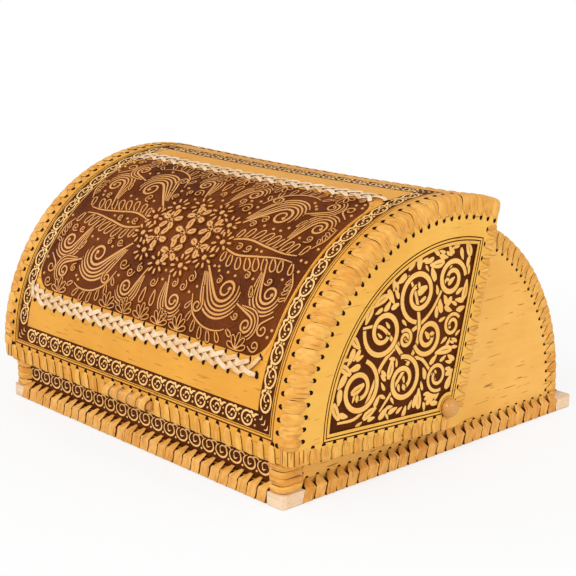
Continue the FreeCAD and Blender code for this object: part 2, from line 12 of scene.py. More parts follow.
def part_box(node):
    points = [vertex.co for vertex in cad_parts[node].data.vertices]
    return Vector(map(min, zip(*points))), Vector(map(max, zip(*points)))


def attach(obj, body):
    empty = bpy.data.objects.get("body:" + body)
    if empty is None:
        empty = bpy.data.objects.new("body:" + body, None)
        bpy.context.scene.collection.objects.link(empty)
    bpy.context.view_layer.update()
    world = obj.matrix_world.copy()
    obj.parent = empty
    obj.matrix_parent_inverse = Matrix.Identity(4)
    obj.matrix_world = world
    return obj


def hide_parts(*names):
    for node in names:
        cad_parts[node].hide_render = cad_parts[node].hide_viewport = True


# Looks of a birch bark bread box over its CAD frame. Lengths are in mm, as in the CAD model, and MM turns
# them into metres. The front is at -Y, the right side at +X, and the lid turns on pegs along X.

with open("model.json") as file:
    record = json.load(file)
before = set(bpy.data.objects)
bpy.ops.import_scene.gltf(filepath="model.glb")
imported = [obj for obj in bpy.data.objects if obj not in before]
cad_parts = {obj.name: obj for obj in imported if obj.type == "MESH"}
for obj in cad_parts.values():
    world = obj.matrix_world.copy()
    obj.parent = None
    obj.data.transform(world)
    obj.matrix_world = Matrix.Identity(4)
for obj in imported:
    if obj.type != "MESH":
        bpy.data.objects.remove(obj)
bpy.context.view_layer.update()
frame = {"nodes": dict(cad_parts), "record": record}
random.seed(7)

MM = 0.001
SIDES = ((1, "right"), (-1, "left"))

# ---- sizes read from the frame
PIVOT_Y, PIVOT_Z = (c / MM for c in frame["record"]["behaviour"]["joints"][0]["pos_m"][1:])


def cad(node, corner, axis):
    """One coordinate of a CAD node's box at rest: corner 0 low or 1 high, axis 0, 1 or 2."""
    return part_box(node)[corner][axis] / MM


LID_X = cad("lid_shell", 1, 0)                       # half width over the lid
LID_R = cad("lid_shell", 1, 2) - PIVOT_Z             # outer radius of the lid
PLY_X = cad("lid_side_right", 1, 0)                  # outer face of the inner ply of the lid's sides
SIDE_X = cad("lid_side_right", 0, 0)                 # and its inner face
FRONT_ANGLE = math.pi + math.asin((PIVOT_Z - cad("lid_rim_lath", 0, 2)) / LID_R)
REAR_ANGLE = math.acos((cad("lid_shell", 1, 1) - PIVOT_Y) / LID_R)
ARC_LENGTH = LID_R * (FRONT_ANGLE - REAR_ANGLE)


def depth_at_front(y):
    """Depth below the lid's outer face, at its front edge, of what lies at this y."""
    return LID_R - (PIVOT_Y - y) / math.cos(FRONT_ANGLE - math.pi)


SHELL_DEPTH = depth_at_front(cad("lid_rim_lath", 0, 1))
RIM_DEPTH = depth_at_front(cad("lid_rim_lath", 1, 1))
LINING_R = LID_R - SHELL_DEPTH
WALL_X = cad("body_side_right", 1, 0)                # outer face of the body's sides
WALL_FRONT = cad("front_panel", 0, 1)
LATH_TOP = cad("base_lath_right", 1, 2)
HALF_WIDTH = cad("base_lath_right", 1, 0)
LATH_FRONT = cad("base_lath_front", 0, 1)
LATH_REAR = cad("base_lath_rear", 1, 1)
REAR_WALL = cad("base_lath_rear", 0, 1)
PANEL_TOP = cad("front_panel", 1, 2)
POST_IN = cad("corner_post_right", 0, 0)
POST_OUT = cad("corner_post_right", 1, 0)
POST_FRONT = cad("corner_post_right", 0, 1)
POST_BACK = cad("corner_post_right", 1, 1)
WRAP_TOP = 15.5                                      # the laths' strips rise to here at the walls
PEG_R = 4.5


# ---- materials
def rgba(colour):
    """A colour with its alpha, from a colour or a grey level."""
    return (colour, colour, colour, 1.0) if isinstance(colour, float) else (*colour, 1.0)


def is_socket(value):
    return isinstance(value, bpy.types.NodeSocket)


class Nodes:
    """The empty node tree of a material or world, with short ways to fill it."""

    def __init__(self, owner):
        owner.use_nodes = True
        self.owner, self.tree = owner, owner.node_tree
        self.tree.nodes.clear()

    def add(self, kind, inputs=None, **values):
        """A node with its settings; each input takes a number, a colour or another node's output."""
        new = self.tree.nodes.new("ShaderNode" + kind)
        for key, value in values.items():
            setattr(new, key, value)
        for key, value in (inputs or {}).items():
            if is_socket(value):
                self.tree.links.new(value, new.inputs[key])
            else:
                new.inputs[key].default_value = value
        return new

    def noise(self, scales, detail, rough=0.5, stored=None):
        """Noise over the object's mm, or over a stored vector, scaled alike or along each axis."""
        if stored:
            source, unit_size = self.add("Attribute", attribute_name=stored).outputs["Vector"], 1.0
        else:
            source, unit_size = self.add("TexCoord").outputs["Object"], 1.0 / MM
        scales = [scales] * 3 if isinstance(scales, float) else scales
        mapped = self.add("Mapping", {"Vector": source, "Scale": [s * unit_size for s in scales]})
        return self.add("TexNoise", {"Vector": mapped.outputs["Vector"], "Scale": 1.0, "Detail": detail,
                                     "Roughness": rough}).outputs["Fac"]

    def ramp(self, value, *stops):
        """Turns a number into a colour; the stops are (place, colour or grey level)."""
        new = self.add("ValToRGB", {"Fac": value})
        ends = new.color_ramp.elements
        while len(ends) < len(stops):
            ends.new(0.5)
        for element, (place, colour) in zip(ends, stops):
            element.position, element.color = place, rgba(colour)
        return new.outputs["Color"]

    def mix(self, share, a, b, blend="MIX"):
        a, b = (c if is_socket(c) else rgba(c) for c in (a, b))
        return self.add("Mix", {0: share, 6: a, 7: b}, data_type="RGBA", blend_type=blend).outputs[2]

    def math(self, operation, a, b):
        return self.add("Math", {0: a, 1: b}, operation=operation).outputs[0]

    def finish(self, colour, rough, shine, height=None, strength=0.0, depth=0.0):
        """Ends a material, with the height as bumps of the given depth."""
        inputs = {"Base Color": colour, "Roughness": rough, "Specular IOR Level": shine}
        if height is not None:
            bumps = self.add("Bump", {"Height": height, "Strength": strength, "Distance": depth * MM})
            inputs["Normal"] = bumps.outputs["Normal"]
        self.add("OutputMaterial", {0: self.add("BsdfPrincipled", inputs).outputs[0]})
        return self.owner


def paint(name):
    return Nodes(bpy.data.materials.new(name))


def shade(tint, *factors):
    return tuple(min(1.0, c * k) for c, k in zip(tint, factors))


def grain_scales(axis, lengthwise, across):
    """Scales that stretch a noise along one axis."""
    return [lengthwise if i == axis else across for i in range(3)]


def bark(name, tint, stretch, dashes=1.0):
    """Birch bark: soft mottling, fine grain and lenticel dashes, long along the stretch axis."""
    n = paint(name)
    light, deep = shade(tint, 1.08, 1.16, 1.50), shade(tint, 0.90, 0.80, 0.55)
    cloud = n.noise(grain_scales(stretch, 0.035, 0.16), 4.0, 0.6)
    speck = n.noise(1.3, 2.0, 0.7)
    colour = n.ramp(n.noise(0.012, 3.0), (0.30, deep), (0.52, tint), (0.74, light))
    colour = n.mix(0.28, colour, n.ramp(cloud, (0.35, deep), (0.65, light)))
    colour = n.mix(0.22, colour, n.ramp(speck, (0.38, deep), (0.60, light)))
    marks = n.noise(grain_scales(stretch, 0.050, 0.75), 1.0, 0.4)
    dash = n.ramp(marks, (0.685, 0.0), (0.715, 1.0))
    colour = n.mix(n.math("MULTIPLY", dash, 0.72 * dashes), colour, shade(tint, 0.50, 0.34, 0.25))
    rough = n.ramp(cloud, (0.3, 0.42), (0.7, 0.58))
    return n.finish(colour, rough, 0.25, n.mix(0.35, speck, dash, "ADD"), 0.25, 0.25)


def dark_ground(name, tint, light):
    """Bark stained dark behind the carving, with a leathery grain; also used as painted shadow under the
    lid's arc strips.
    """
    n = paint(name)
    grain = n.noise(0.55, 4.0, 0.7)
    colour = n.mix(0.45, n.ramp(n.noise(0.022, 4.0), (0.35, tint), (0.66, light)),
                   n.ramp(grain, (0.36, tint), (0.66, light)))
    return n.finish(colour, 0.55, 0.06, grain, 0.35, 0.25)


def strip_material(name, tint, contrast):
    """Split bark lacing: fibres along the strip and a tone of its own for each strip.

    The stored vector 'strip' holds mm across, mm along and a random number for the strip."""
    n = paint(name)
    light, deep = shade(tint, 1.12, 1.22, 1.50), shade(tint, 0.84, 0.66, 0.36)
    fibres = n.noise((1.1, 0.05, 7.0), 3.0, 0.65, "strip")
    patches = n.noise((0.30, 0.12, 7.0), 2.0, 0.5, "strip")
    stored = n.add("Attribute", attribute_name="strip").outputs["Vector"]
    own_tone = n.add("SeparateXYZ", {0: stored}).outputs[2]
    colour = n.mix(0.50, n.ramp(own_tone, (0.0, deep), (0.45, tint), (1.0, light)),
                   n.ramp(patches, (0.34, deep), (0.64, light)))
    line = n.math("MULTIPLY", n.ramp(fibres, (0.33, 1.0), (0.42, 0.0)), 0.70 * contrast)
    return n.finish(n.mix(line, colour, shade(tint, 0.40, 0.24, 0.12)), 0.46, 0.28, fibres, 0.45, 0.35)


def plain_wood(name, tint, stretch, rough=0.5):
    n = paint(name)
    deep = shade(tint, 0.80, 0.64, 0.46)
    grain = n.noise(grain_scales(stretch, 0.02, 0.9), 4.0, 0.6)
    colour = n.mix(0.4, n.ramp(grain, (0.34, deep), (0.56, tint)),
                   n.ramp(n.noise(0.05, 2.0), (0.35, deep), (0.65, tint)))
    return n.finish(colour, rough, 0.5, grain, 0.2, 0.2)


# near black for holes, slits and the strips' sides: painted shade, as no opening is modelled
def hole_material(name):
    n = paint(name)
    colour = n.ramp(n.noise(0.8, 2.0), (0.3, (0.010, 0.004, 0.002)), (0.7, (0.03, 0.012, 0.005)))
    return n.finish(colour, 0.9, 0.05)


bark_x = bark("bark_along_x", (0.78, 0.352, 0.036), 0)
bark_y = bark("bark_along_y", (0.88, 0.47, 0.075), 1)
bark_body = bark("bark_body", (0.94, 0.50, 0.10), 1, 1.35)
relief_bark = bark("bark_relief", (0.95, 0.56, 0.19), 0, 0.0)
relief_bark_y = bark("bark_relief_y", (0.96, 0.54, 0.14), 1, 0.0)
# the carving's dark stained backing; the sheets on the laths' tops use it as painted shade
ground = dark_ground("ground_brown", (0.060, 0.011, 0.001), (0.13, 0.030, 0.002))
panel_brown = dark_ground("panel_brown", (0.062, 0.010, 0.001), (0.21, 0.048, 0.003))
tooled = bark("tooled_tan", (0.73, 0.345, 0.09), 0, 0.0)
strips = strip_material("bark_strips", (0.81, 0.40, 0.070), 1.2)
# the strips' own colour, kept a little darker as painted shade on the laths' front faces
lath_strips = strip_material("bark_strips_lath", (0.82, 0.41, 0.085), 1.25)
# painted shadow: the dark underlay that shows as shade between the lid's arc strips
arc_shadow_paint = dark_ground("strip_shadow", (0.20, 0.07, 0.012), (0.34, 0.13, 0.022))
braid_mat = strip_material("braid_cream", (0.85, 0.60, 0.35), 0.5)
knob_wood = plain_wood("knob_wood", (0.70, 0.35, 0.085), 1, 0.25)
wood_x = plain_wood("wood_along_x", (0.93, 0.73, 0.52), 0)
wood_y = plain_wood("wood_along_y", (0.93, 0.73, 0.52), 1)
hole_mat = hole_material("hole_dark")


# ---- mesh building
def new_object(name, data):
    obj = bpy.data.objects.new(name, data)
    bpy.context.scene.collection.objects.link(obj)
    return obj


class Builder:
    """Collects points, faces and a strip vector per point, then makes one object."""

    def __init__(self):
        self.points, self.faces, self.marks, self.slots = [], [], [], []

    def add(self, points, faces, marks=None, slot=0):
        start = len(self.points)
        self.points.extend(tuple(p) for p in points)
        self.faces.extend(tuple(start + i for i in f) for f in faces)
        self.slots.extend([slot] * len(faces))
        self.marks.extend(marks or [(0.0, 0.0, 0.0)] * len(points))

    def finish(self, name, body, materials, slot, replaces=(), sharp=40.0, weld=False):
        mesh = bpy.data.meshes.new(name)
        mesh.from_pydata([(x * MM, y * MM, z * MM) for x, y, z in self.points], [], self.faces)
        for mat in materials:
            mesh.materials.append(mat)
        mesh.polygons.foreach_set("material_index", self.slots)
        mesh.polygons.foreach_set("use_smooth", [True] * len(self.faces))
        layer = mesh.attributes.new("strip", "FLOAT_VECTOR", "POINT")
        layer.data.foreach_set("vector", [c for m in self.marks for c in m])
        work = bmesh.new()
        work.from_mesh(mesh)
        if weld:
            bmesh.ops.remove_doubles(work, verts=work.verts, dist=0.01 * MM)
        bmesh.ops.recalc_face_normals(work, faces=work.faces)
        work.to_mesh(mesh)
        work.free()
        mesh.set_sharp_from_angle(angle=math.radians(sharp))
        obj = new_object(name, mesh)
        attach(obj, body)
        if replaces:
            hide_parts(*replaces)


def between(count, ring=0):
    """The faces between a ring of count points and the next."""
    a, b = ring * count, (ring + 1) * count
    return [(a + j, a + (j + 1) % count, b + (j + 1) % count, b + j) for j in range(count)]


def sweep(builder, rings, marks=None, slot=0, dark=()):
    """Joins equal rings into a closed tube; the sides named in dark take the second material."""
    count, spans = len(rings[0]), len(rings) - 1
    first = len(builder.faces)
    faces = [face for i in range(spans) for face in between(count, i)]
    faces += [tuple(range(count - 1, -1, -1)), tuple(spans * count + j for j in range(count))]
    builder.add([p for ring in rings for p in ring], faces, marks, slot)
    for j in dark:
        builder.slots[first + j:first + spans * count:count] = [1] * spans


def round_steps(count):
    """Cosine and sine of equal steps round a circle."""
    return [(math.cos(2 * math.pi * i / count), math.sin(2 * math.pi * i / count)) for i in range(count)]


# ---- camera, light, floor
CAMERA_AT = (865.8, -791.1, 400.8)
CAMERA_TURN = (75.79, 0.0, 47.48)
LENS = 86.86
LAMPS_AIM = Vector((0.0, 0.0, 0.08))      # lamps in metres: place, size, power
LAMPS = {"key": ((0.55, -1.40, 1.15), 1.0, 12.5),
         "left": ((-1.5, -0.9, 1.0), 1.2, 7.0),
         "right": ((1.6, 0.3, 0.9), 1.2, 8.0)}
WORLD_LEVEL = 0.62            # light from all round
FLOOR_GREY = 0.86
FLOOR_GLOW = 0.78             # share of the floor's own light near the box, as the camera sees it
GLOW_REACH = (0.20, 0.60)     # it rises to 1 between these distances, in metres
FLOOR_SIZE = 12000.0
FLOOR_DROP = 0.02


def make_camera():
    data = bpy.data.cameras.new("camera")
    data.lens = LENS
    data.sensor_width = 36.0
    data.clip_end = 20.0
    camera = new_object("camera", data)
    camera.location = [c * MM for c in CAMERA_AT]
    camera.rotation_euler = [math.radians(a) for a in CAMERA_TURN]
    bpy.context.scene.camera = camera


def make_lamps():
    for name, (at, size, power) in LAMPS.items():
        data = bpy.data.lights.new(name, "AREA")
        data.shape = "DISK"
        data.size = size
        data.energy = power
        lamp = new_object(name, data)
        lamp.location = at
        lamp.rotation_euler = (LAMPS_AIM - Vector(at)).to_track_quat("-Z", "Y").to_euler()


def seen_directly(n):
    """1 for camera and transmission rays, which see the white background."""
    path = n.add("LightPath").outputs
    return n.math("MAXIMUM", path["Is Camera Ray"], path["Is Transmission Ray"])


def make_world():
    world = bpy.data.worlds.new("world")
    bpy.context.scene.world = world
    n = Nodes(world)
    light = n.add("Background", {"Color": n.mix(seen_directly(n), WORLD_LEVEL, 1.0), "Strength": 1.0})
    n.add("OutputWorld", {0: light.outputs[0]})


def make_floor():
    """A pale floor: for the camera it glows a little, so that it is white with a soft shadow."""
    n = paint("floor")
    diffuse = n.add("BsdfDiffuse", {"Color": rgba(FLOOR_GREY)}).outputs[0]
    away = n.add("VectorMath", {0: n.add("TexCoord").outputs["Object"]}, operation="LENGTH")
    rise = n.add("MapRange", {"Value": away.outputs["Value"], "From Min": GLOW_REACH[0],
                              "From Max": GLOW_REACH[1], "To Min": FLOOR_GLOW, "To Max": 1.0})
    share = n.math("MULTIPLY", seen_directly(n), rise.outputs["Result"])
    blend = n.add("MixShader", {0: share, 1: diffuse, 2: n.add("Emission").outputs[0]})
    n.add("OutputMaterial", {0: blend.outputs[0]})
    half = FLOOR_SIZE * MM
    mesh = bpy.data.meshes.new("floor")
    corners = ((-1, -1), (1, -1), (1, 1), (-1, 1))
    mesh.from_pydata([(x * half, y * half, -FLOOR_DROP * MM) for x, y in corners], [], [(0, 1, 2, 3)])
    mesh.materials.append(n.owner)
    new_object("floor", mesh)


# ---- where things lie
SAG = 2.8                     # the shell lies lower in the middle than over the sides
SAG_S = 240.0                 # from here to the rear edge by the full amount


def about_pegs(x, r, angle):
    """The point at radius r round the pegs, with the angle in radians up from +Y."""
    return np.array((x, PIVOT_Y + r * math.cos(angle), PIVOT_Z + r * math.sin(angle)))


def lid_point(x, s, h):
    """On the lid's outer face: x across, s up from its front edge along the arc, h outwards."""
    across = max(0.0, 1.0 - (x / LID_X) ** 2)
    along = math.sin(min(1.0, max(0.0, s / SAG_S)) * math.pi / 2) ** 2
    r = LID_R + h - SAG * across * along * min(1.0, max(0.0, 1.0 + h / SHELL_DEPTH))
    return about_pegs(x, r, FRONT_ANGLE - s / LID_R)


def side_point(side, a, b, h):
    """On the lid's side: a and b are y and z from the pegs, h outwards from the carved face."""
    return np.array((side * (LID_X + h), PIVOT_Y + a, PIVOT_Z + b))


def front_point(x, z, h):
    return np.array((x, WALL_FRONT - h, z))


# ---- lines in the plane
def unit(v):
    return v / np.linalg.norm(v)


def angle_of(p):
    return math.degrees(math.atan2(p[1], p[0])) % 360.0


def polar(r, degrees):
    return np.array((r * math.cos(math.radians(degrees)), r * math.sin(math.radians(degrees))))


def arc(cx, cy, r, start, end, count):
    t = np.radians(np.linspace(start, end, count))
    return np.stack((cx + r * np.cos(t), cy + r * np.sin(t)), 1)


def spiral(cx, cy, r_out, r_in, start, turns, count=26):
    """From the outer radius inwards; positive turns run anticlockwise."""
    t = np.linspace(0.0, 1.0, count)
    a = np.radians(start + 360.0 * turns * t)
    r = r_out + (r_in - r_out) * t ** 0.85
    return np.stack((cx + r * np.cos(a), cy + r * np.sin(a)), 1)


def curve(points, per_span):
    """A smooth line through the points."""
    p = np.array(points, float)
    p = np.vstack((2 * p[0] - p[1], p, 2 * p[-1] - p[-2]))
    out = []
    for i in range(1, len(p) - 2):
        a, b, c, d = p[i - 1:i + 3]
        for t in np.linspace(0.0, 1.0, per_span, endpoint=False):
            out.append(0.5 * (2 * b + (c - a) * t + (2 * a - 5 * b + 4 * c - d) * t ** 2
                              + (3 * b - a - 3 * c + d) * t ** 3))
    out.append(p[-2])
    return np.array(out)


def taper(count, start=0.35, end=0.35, peak=0.5):
    """Width along a stroke: thin at both ends and full at its peak."""
    t = np.linspace(0.0, 1.0, count)
    rise = start + (1.0 - start) * np.sin(np.clip(t / peak, 0, 1) * math.pi / 2)
    fall = end + (1.0 - end) * np.sin(np.clip((1 - t) / (1 - peak), 0, 1) * math.pi / 2)
    return np.where(t < peak, rise, fall)


def directions(path):
    """Unit direction at each point of a line."""
    step = np.gradient(np.asarray(path, float), axis=0)
    return step / np.maximum(np.linalg.norm(step, axis=1), 1e-9)[:, None]


def to_left(path):
    """Unit vector square to a plane line at each of its points."""
    step = directions(path)
    return np.stack((-step[:, 1], step[:, 0]), 1)


def lengths(path):
    """Length along the line up to each of its points."""
    return np.concatenate(((0.0,), np.cumsum(np.linalg.norm(np.diff(path, axis=0), axis=1))))


def spread(start, end, count):
    """The middles of count equal steps."""
    pitch = (end - start) / count
    return [start + pitch * (i + 0.5) for i in range(count)]


# ---- raised lines and dots
SIGHT = 24.0                  # how far a free place is measured


class Relief:
    """Strokes and dots on a surface: place(u, v, h) gives the point h above it.

    Where rise isn't 0, lines may cross: each lies that much over the one before, up to highest, and has a
    dark outline as wide as edge."""

    def __init__(self, place, height, sink, rise=0.0, highest=0.0, edge=0.0):
        self.place, self.height, self.sink = place, height, sink
        self.layer, self.rise, self.highest, self.edge = height, rise, highest, edge
        self.taken, self.known = [], np.zeros((0, 3))
        self.out = Builder()

    def stroke(self, path, width, widths=None, height=None, dark=False):
        path = np.asarray(path, float)
        top = self.height if height is None else height
        scale = np.ones(len(path)) if widths is None else widths
        soft = min(0.5 * top / width, 0.25)
        profile = ((-1.0, -self.sink), (-1.0 + soft, 0.75 * top), (-0.7 + soft, top), (0.7 - soft, top),
                   (1.0 - soft, 0.75 * top), (1.0, -self.sink))
        rings = []
        for centre, way, k in zip(path, to_left(path), scale):
            low = min(1.0, 0.45 + k)
            rings.append([self.place(*(centre + way * (o * width / 2 * k)), h * low if h > 0 else h)
                          for o, h in profile])
            self.taken.append((centre[0], centre[1], width / 2 * k))
        sweep(self.out, rings, slot=1 if dark else 0, dark=(0, 4))

    def line(self, path, width, widths=None):
        """A stroke, with its outline and over what was drawn before where lines may cross."""
        if self.rise == 0.0:
            self.stroke(path, width, widths)
            return
        path = np.asarray(path, float)
        widths = np.ones(len(path)) if widths is None else widths
        self.layer = min(self.layer + self.rise, self.highest)
        first, last = unit(path[0] - path[1]), unit(path[-1] - path[-2])
        longer = np.vstack((path[0] + first * self.edge, path[1:-1], path[-1] + last * self.edge))
        whole = width + 2 * self.edge
        self.stroke(longer, whole, (widths * width + 2 * self.edge) / whole, self.layer, True)
        self.stroke(path, width, widths, self.layer + 0.6 * self.rise)

    def dot(self, u, v, r):
        top = self.layer + 0.6 * self.rise
        self.taken.append((u, v, r))
        sweep(self.out, [[self.place(u + r * scale * c, v + r * scale * s, level) for c, s in round_steps(8)]
                         for scale, level in ((1.0, -self.sink), (0.92, top * 0.7), (0.5, top))])

    def gap_at(self, u, v):
        """Free distance round a point, and the way from it to what is nearest."""
        if len(self.known) < len(self.taken):
            self.known = np.vstack((self.known, self.taken[len(self.known):]))
        near = self.known[(abs(self.known[:, 0] - u) < SIGHT) & (abs(self.known[:, 1] - v) < SIGHT)]
        if not len(near):
            return SIGHT, np.array((1.0, 0.0))
        apart = near[:, :2] - (u, v)
        free = np.linalg.norm(apart, axis=1) - near[:, 2]
        nearest = int(free.argmin())
        return free[nearest], apart[nearest]


def leaf(relief, at, degrees, length, width, bend=0.0):
    """A filled drop, narrow at its foot and round at its tip; a large one has a dark vein."""
    way, across = polar(1.0, degrees), polar(1.0, degrees + 90)
    path = [at + way * length * t + across * bend * math.sin(t * math.pi / 2) for t in np.linspace(0, 1, 8)]
    relief.line(path, width, taper(8, 0.25, 0.45, 0.66))
    if length > 13.0 and width > 5.0:
        relief.stroke(path[2:7], 0.8, taper(5, 0.3, 0.3), relief.height + 0.08, True)


def petal(relief, at, degrees, length, width, line):
    """Outline of a drop with its foot at the given point."""
    a = np.linspace(0, 2 * math.pi, 17)
    u = length * (0.5 - 0.5 * np.cos(a))
    v = width / 2 * np.sin(a) * (0.35 + 0.65 * (0.5 - 0.5 * np.cos(a)))
    c, s = polar(1.0, degrees)
    relief.line(np.stack((at[0] + u * c - v * s, at[1] + u * s + v * c), 1), line)


def lead_in(foot, coil):
    """A stem from its foot into the start of a coil, then the coil."""
    return np.vstack((curve([foot, foot + (coil[0] - foot) * 0.5, coil[0], coil[2]], 5)[:-6], coil))


def coil_start(apart, r, way, nearest):
    """Where a stem from outside meets a circle of radius r, in degrees."""
    return angle_of(apart) + way * math.degrees(math.acos(min(nearest, r / np.linalg.norm(apart)))) * 0.92


def scroll(relief, foot, centre, r, way, line, turns=1.2):
    """A stem that leaves its foot and winds into a spiral; way is 1 anticlockwise, -1 clockwise."""
    foot, centre = np.array(foot), np.array(centre)
    coil = spiral(*centre, r, r * 0.30, coil_start(foot - centre, r, way, 1.0), way * turns)
    path = lead_in(foot, coil)
    relief.line(path, line, taper(len(path), 0.7, 0.55, 0.35))
    relief.dot(*coil[-1], line * 0.62)


def scattered(u0, u1, v0, v1, step):
    """Points of a grid, each shifted a little, in a random order."""
    spots = [(u + random.uniform(-0.4, 0.4) * step, v + random.uniform(-0.4, 0.4) * step)
             for u in np.arange(u0, u1, step) for v in np.arange(v0, v1, step)]
    random.shuffle(spots)
    return spots


def fill_gaps(relief, spots, border, least, longest, width):
    """Leaves or dots where there is room, the roomiest places first, laid along what is nearest."""
    def room_at(u, v):
        rim = border(u, v)
        if rim < least:
            return 0.0, None
        free, way = relief.gap_at(u, v)
        return min(free, rim), way

    rooms = [(room_at(*spot)[0], spot) for spot in spots]
    for before, (u, v) in sorted(rooms, reverse=True):
        if before < least:
            break
        room, way = room_at(u, v)
        if room < max(least, 0.85 * before):
            continue
        if longest < 4.0:
            relief.dot(u, v, min(room - 0.5, longest / 2))
            continue
        degrees = angle_of((-way[1], way[0])) + random.uniform(-12, 12)
        length = min(longest, room * 3.0)
        leaf(relief, np.array((u, v)) - polar(length * 0.55, degrees), degrees, length,
             min(width, 2.0 * room - 1.5), random.choice((-0.2, 0.2)) * length)


# ---- lacing
def rounded_path(corners, radii, step=1.5):
    """A line in the plane through its corners, each rounded off."""
    corners = [np.array(c, float) for c in corners]
    points = [corners[0]]
    for a, b, c, radius in zip(corners, corners[1:], corners[2:], radii):
        before, after = np.linalg.norm(b - a), np.linalg.norm(c - b)
        into, out = (b - a) / before, (c - b) / after
        turn = math.acos(max(-1.0, min(1.0, float(into @ out))))
        cut = min(radius * math.tan(turn / 2), 0.48 * before, 0.48 * after)
        for t in np.linspace(0.0, 1.0, 6):
            points.append((1 - t) ** 2 * (b - into * cut) + 2 * t * (1 - t) * b + t ** 2 * (b + out * cut))
    points.append(corners[-1])
    dense = [points[0]]
    for a, b in zip(points, points[1:]):
        parts = max(1, int(np.linalg.norm(b - a) / step))
        dense.extend(a + (b - a) * (i + 1) / parts for i in range(parts))
    return np.array(dense)


def corner_path(hole_a, hole_b, lift, rounding):
    """From a hole in face A over a square edge to a hole in face B, as (p, q) pairs."""
    return rounded_path([(-0.9, hole_a + 0.4), (lift, hole_a - 1.2), (lift, -lift), (-hole_b + 1.2, -lift),
                         (-hole_b - 0.4, 0.9)], [1.0, rounding, 1.0])


def clip_path(hole_a, depth, hole_b, lift, rounding):
    """From a hole in face A round the edge of a plate to a hole in its back."""
    return rounded_path([(-0.9, hole_a + 0.4), (lift, hole_a - 1.2), (lift, -lift), (-depth - lift, -lift),
                         (-depth - lift, hole_b)], [1.0, rounding, rounding])


def lath_path(depth, drop, rise):
    """From a hole in the wall, slanting to the lath's top edge, down its face and underneath."""
    return rounded_path([(rise + 0.3, depth + 0.9), (rise, depth - 0.3), (0.15, 0.15), (-drop, 0.15),
                         (-drop, 3.0)], [0.8, 1.6, 1.0])


# sections of a strip from side to side, in half widths and thicknesses
FLAT = ((-0.96, 0.0), (-1.0, 0.5), (-0.8, 0.9), (-0.3, 0.95), (0.3, 0.95), (0.8, 0.9),
        (1.0, 0.5), (0.96, 0.0))
DOMED = ((-1.0, -0.1), (-0.95, 0.34), (-0.76, 0.68), (-0.35, 0.93), (0.30, 0.95), (0.74, 0.70),
         (0.95, 0.34), (1.0, -0.1))
RIDGE = (3, 4)                # the section's two top points, which differ from strip to strip
# the section's two sides take the near-black second material: painted shade between neighbouring strips
STRIP_SHADED_SIDES = (0, 6)          # its dark sides


def strap(builder, centre, normal, half, thick, shape=FLAT, tilt=0.0):
    """One strip with a softly ridged top; centre, normal and half width are per section."""
    tone = random.random()
    step = directions(centre)
    across = np.cross(step, np.asarray(normal))
    across /= np.maximum(np.linalg.norm(across, axis=1), 1e-9)[:, None]
    up = np.cross(across, step)
    ridge = [random.uniform(-0.10, 0.10) for _ in RIDGE]
    section = [(o, h + (ridge[RIDGE.index(i)] if i in RIDGE else 0.0)) for i, (o, h) in enumerate(shape)]
    along = lengths(centre)
    shift = random.uniform(0, 50)
    fade = np.sin(math.pi * np.clip(along / along[-1], 0.0, 1.0)) ** 0.5
    rings, marks = [], []
    for c, w, a, u, run, f in zip(np.asarray(centre), half, across, up, along, fade):
        rings.append([c + a * o * w + u * (thick * h + tilt * f * (o + 1.0)) for o, h in section])
        marks.extend((o * w + shift, run + shift, tone) for o, h in section)
    # the sides get the second material, near black: painted shade in the gaps between strips
    sweep(builder, rings, marks, dark=STRIP_SHADED_SIDES)


def over(place, path, along, lifts):
    """Points and normals of a strip: place(d, p, q), d from along, off the (p, q) path by the lifts."""
    centre, normal = [], []
    for d, (p, q), (out_p, out_q), lift in zip(along, path, to_left(path), lifts):
        at = place(d, p + out_p * lift, q + out_q * lift)
        centre.append(at)
        normal.append(unit(place(d, p + out_p * (lift + 0.5), q + out_q * (lift + 0.5)) - at))
    return centre, normal


def stitch(builder, place, d, path, half, skew, thick, narrow, tilt=0.0, belly=0.0, reach=0.22, shape=FLAT):
    """A strip over an edge: skew is its lean, narrow the share of its width at its ends."""
    run = lengths(path)
    t = run / run[-1]
    wobble = random.uniform(-0.5, 0.5)
    lean = skew * (t - 0.5) + wobble * np.sin(math.pi * t)
    centre, normal = over(place, path, d + lean, belly * np.sin(math.pi * t) ** 2)
    widths = half * np.minimum(1.0, np.minimum(narrow[0] + (1 - narrow[0]) * t / reach,
                                               narrow[1] + (1 - narrow[1]) * (1 - t) / reach))
    strap(builder, centre, normal, widths, thick, shape, tilt)


def wrap(builder, place, level, path, half, lean, thick):
    """A strip that runs level round something."""
    t = np.linspace(0.0, 1.0, len(path))
    centre, normal = over(place, path, level + lean * (t - 0.5), np.zeros(len(path)))
    strap(builder, centre, normal, half * np.minimum(1.0, np.minimum(0.4 + t * 4.0, 0.4 + (1 - t) * 4.0)),
          thick, DOMED)


def lens(builder, point, half_u, half_v, levels):
    """A thin dark lens of painted shade, for a hole or slit; point(u, v, level) gives its points."""
    sweep(builder, [[point(half_u * scale * c, half_v * scale * s, level) for c, s in round_steps(10)]
                    for scale, level in levels], slot=1)


def hole(builder, place, d, p, q, face, half_d, half_q):
    """A punched hole on face a (p outwards) or face b (q outwards), drawn as a dark lens of painted shade.
    """
    def point(u, v, level):
        return place(d + u, p + level, q + v) if face == "a" else place(d + u, p + v, q - level)

    lens(builder, point, half_d, half_q, ((1.0, -0.05), (0.96, 0.06), (0.5, 0.08)))


def lace(builder, place, stations, path, pitch, share, lean, thick, narrow, holes, jitter=0.4, **form):
    """A row of stitches with their holes; share of the pitch and lean are ranges."""
    for d in stations:
        stitch(builder, place, d + random.uniform(-jitter, jitter), path, pitch * random.uniform(*share),
               random.uniform(*lean), thick, narrow, **form)
        for shift, *rest in holes:
            hole(builder, place, d + shift, *rest)


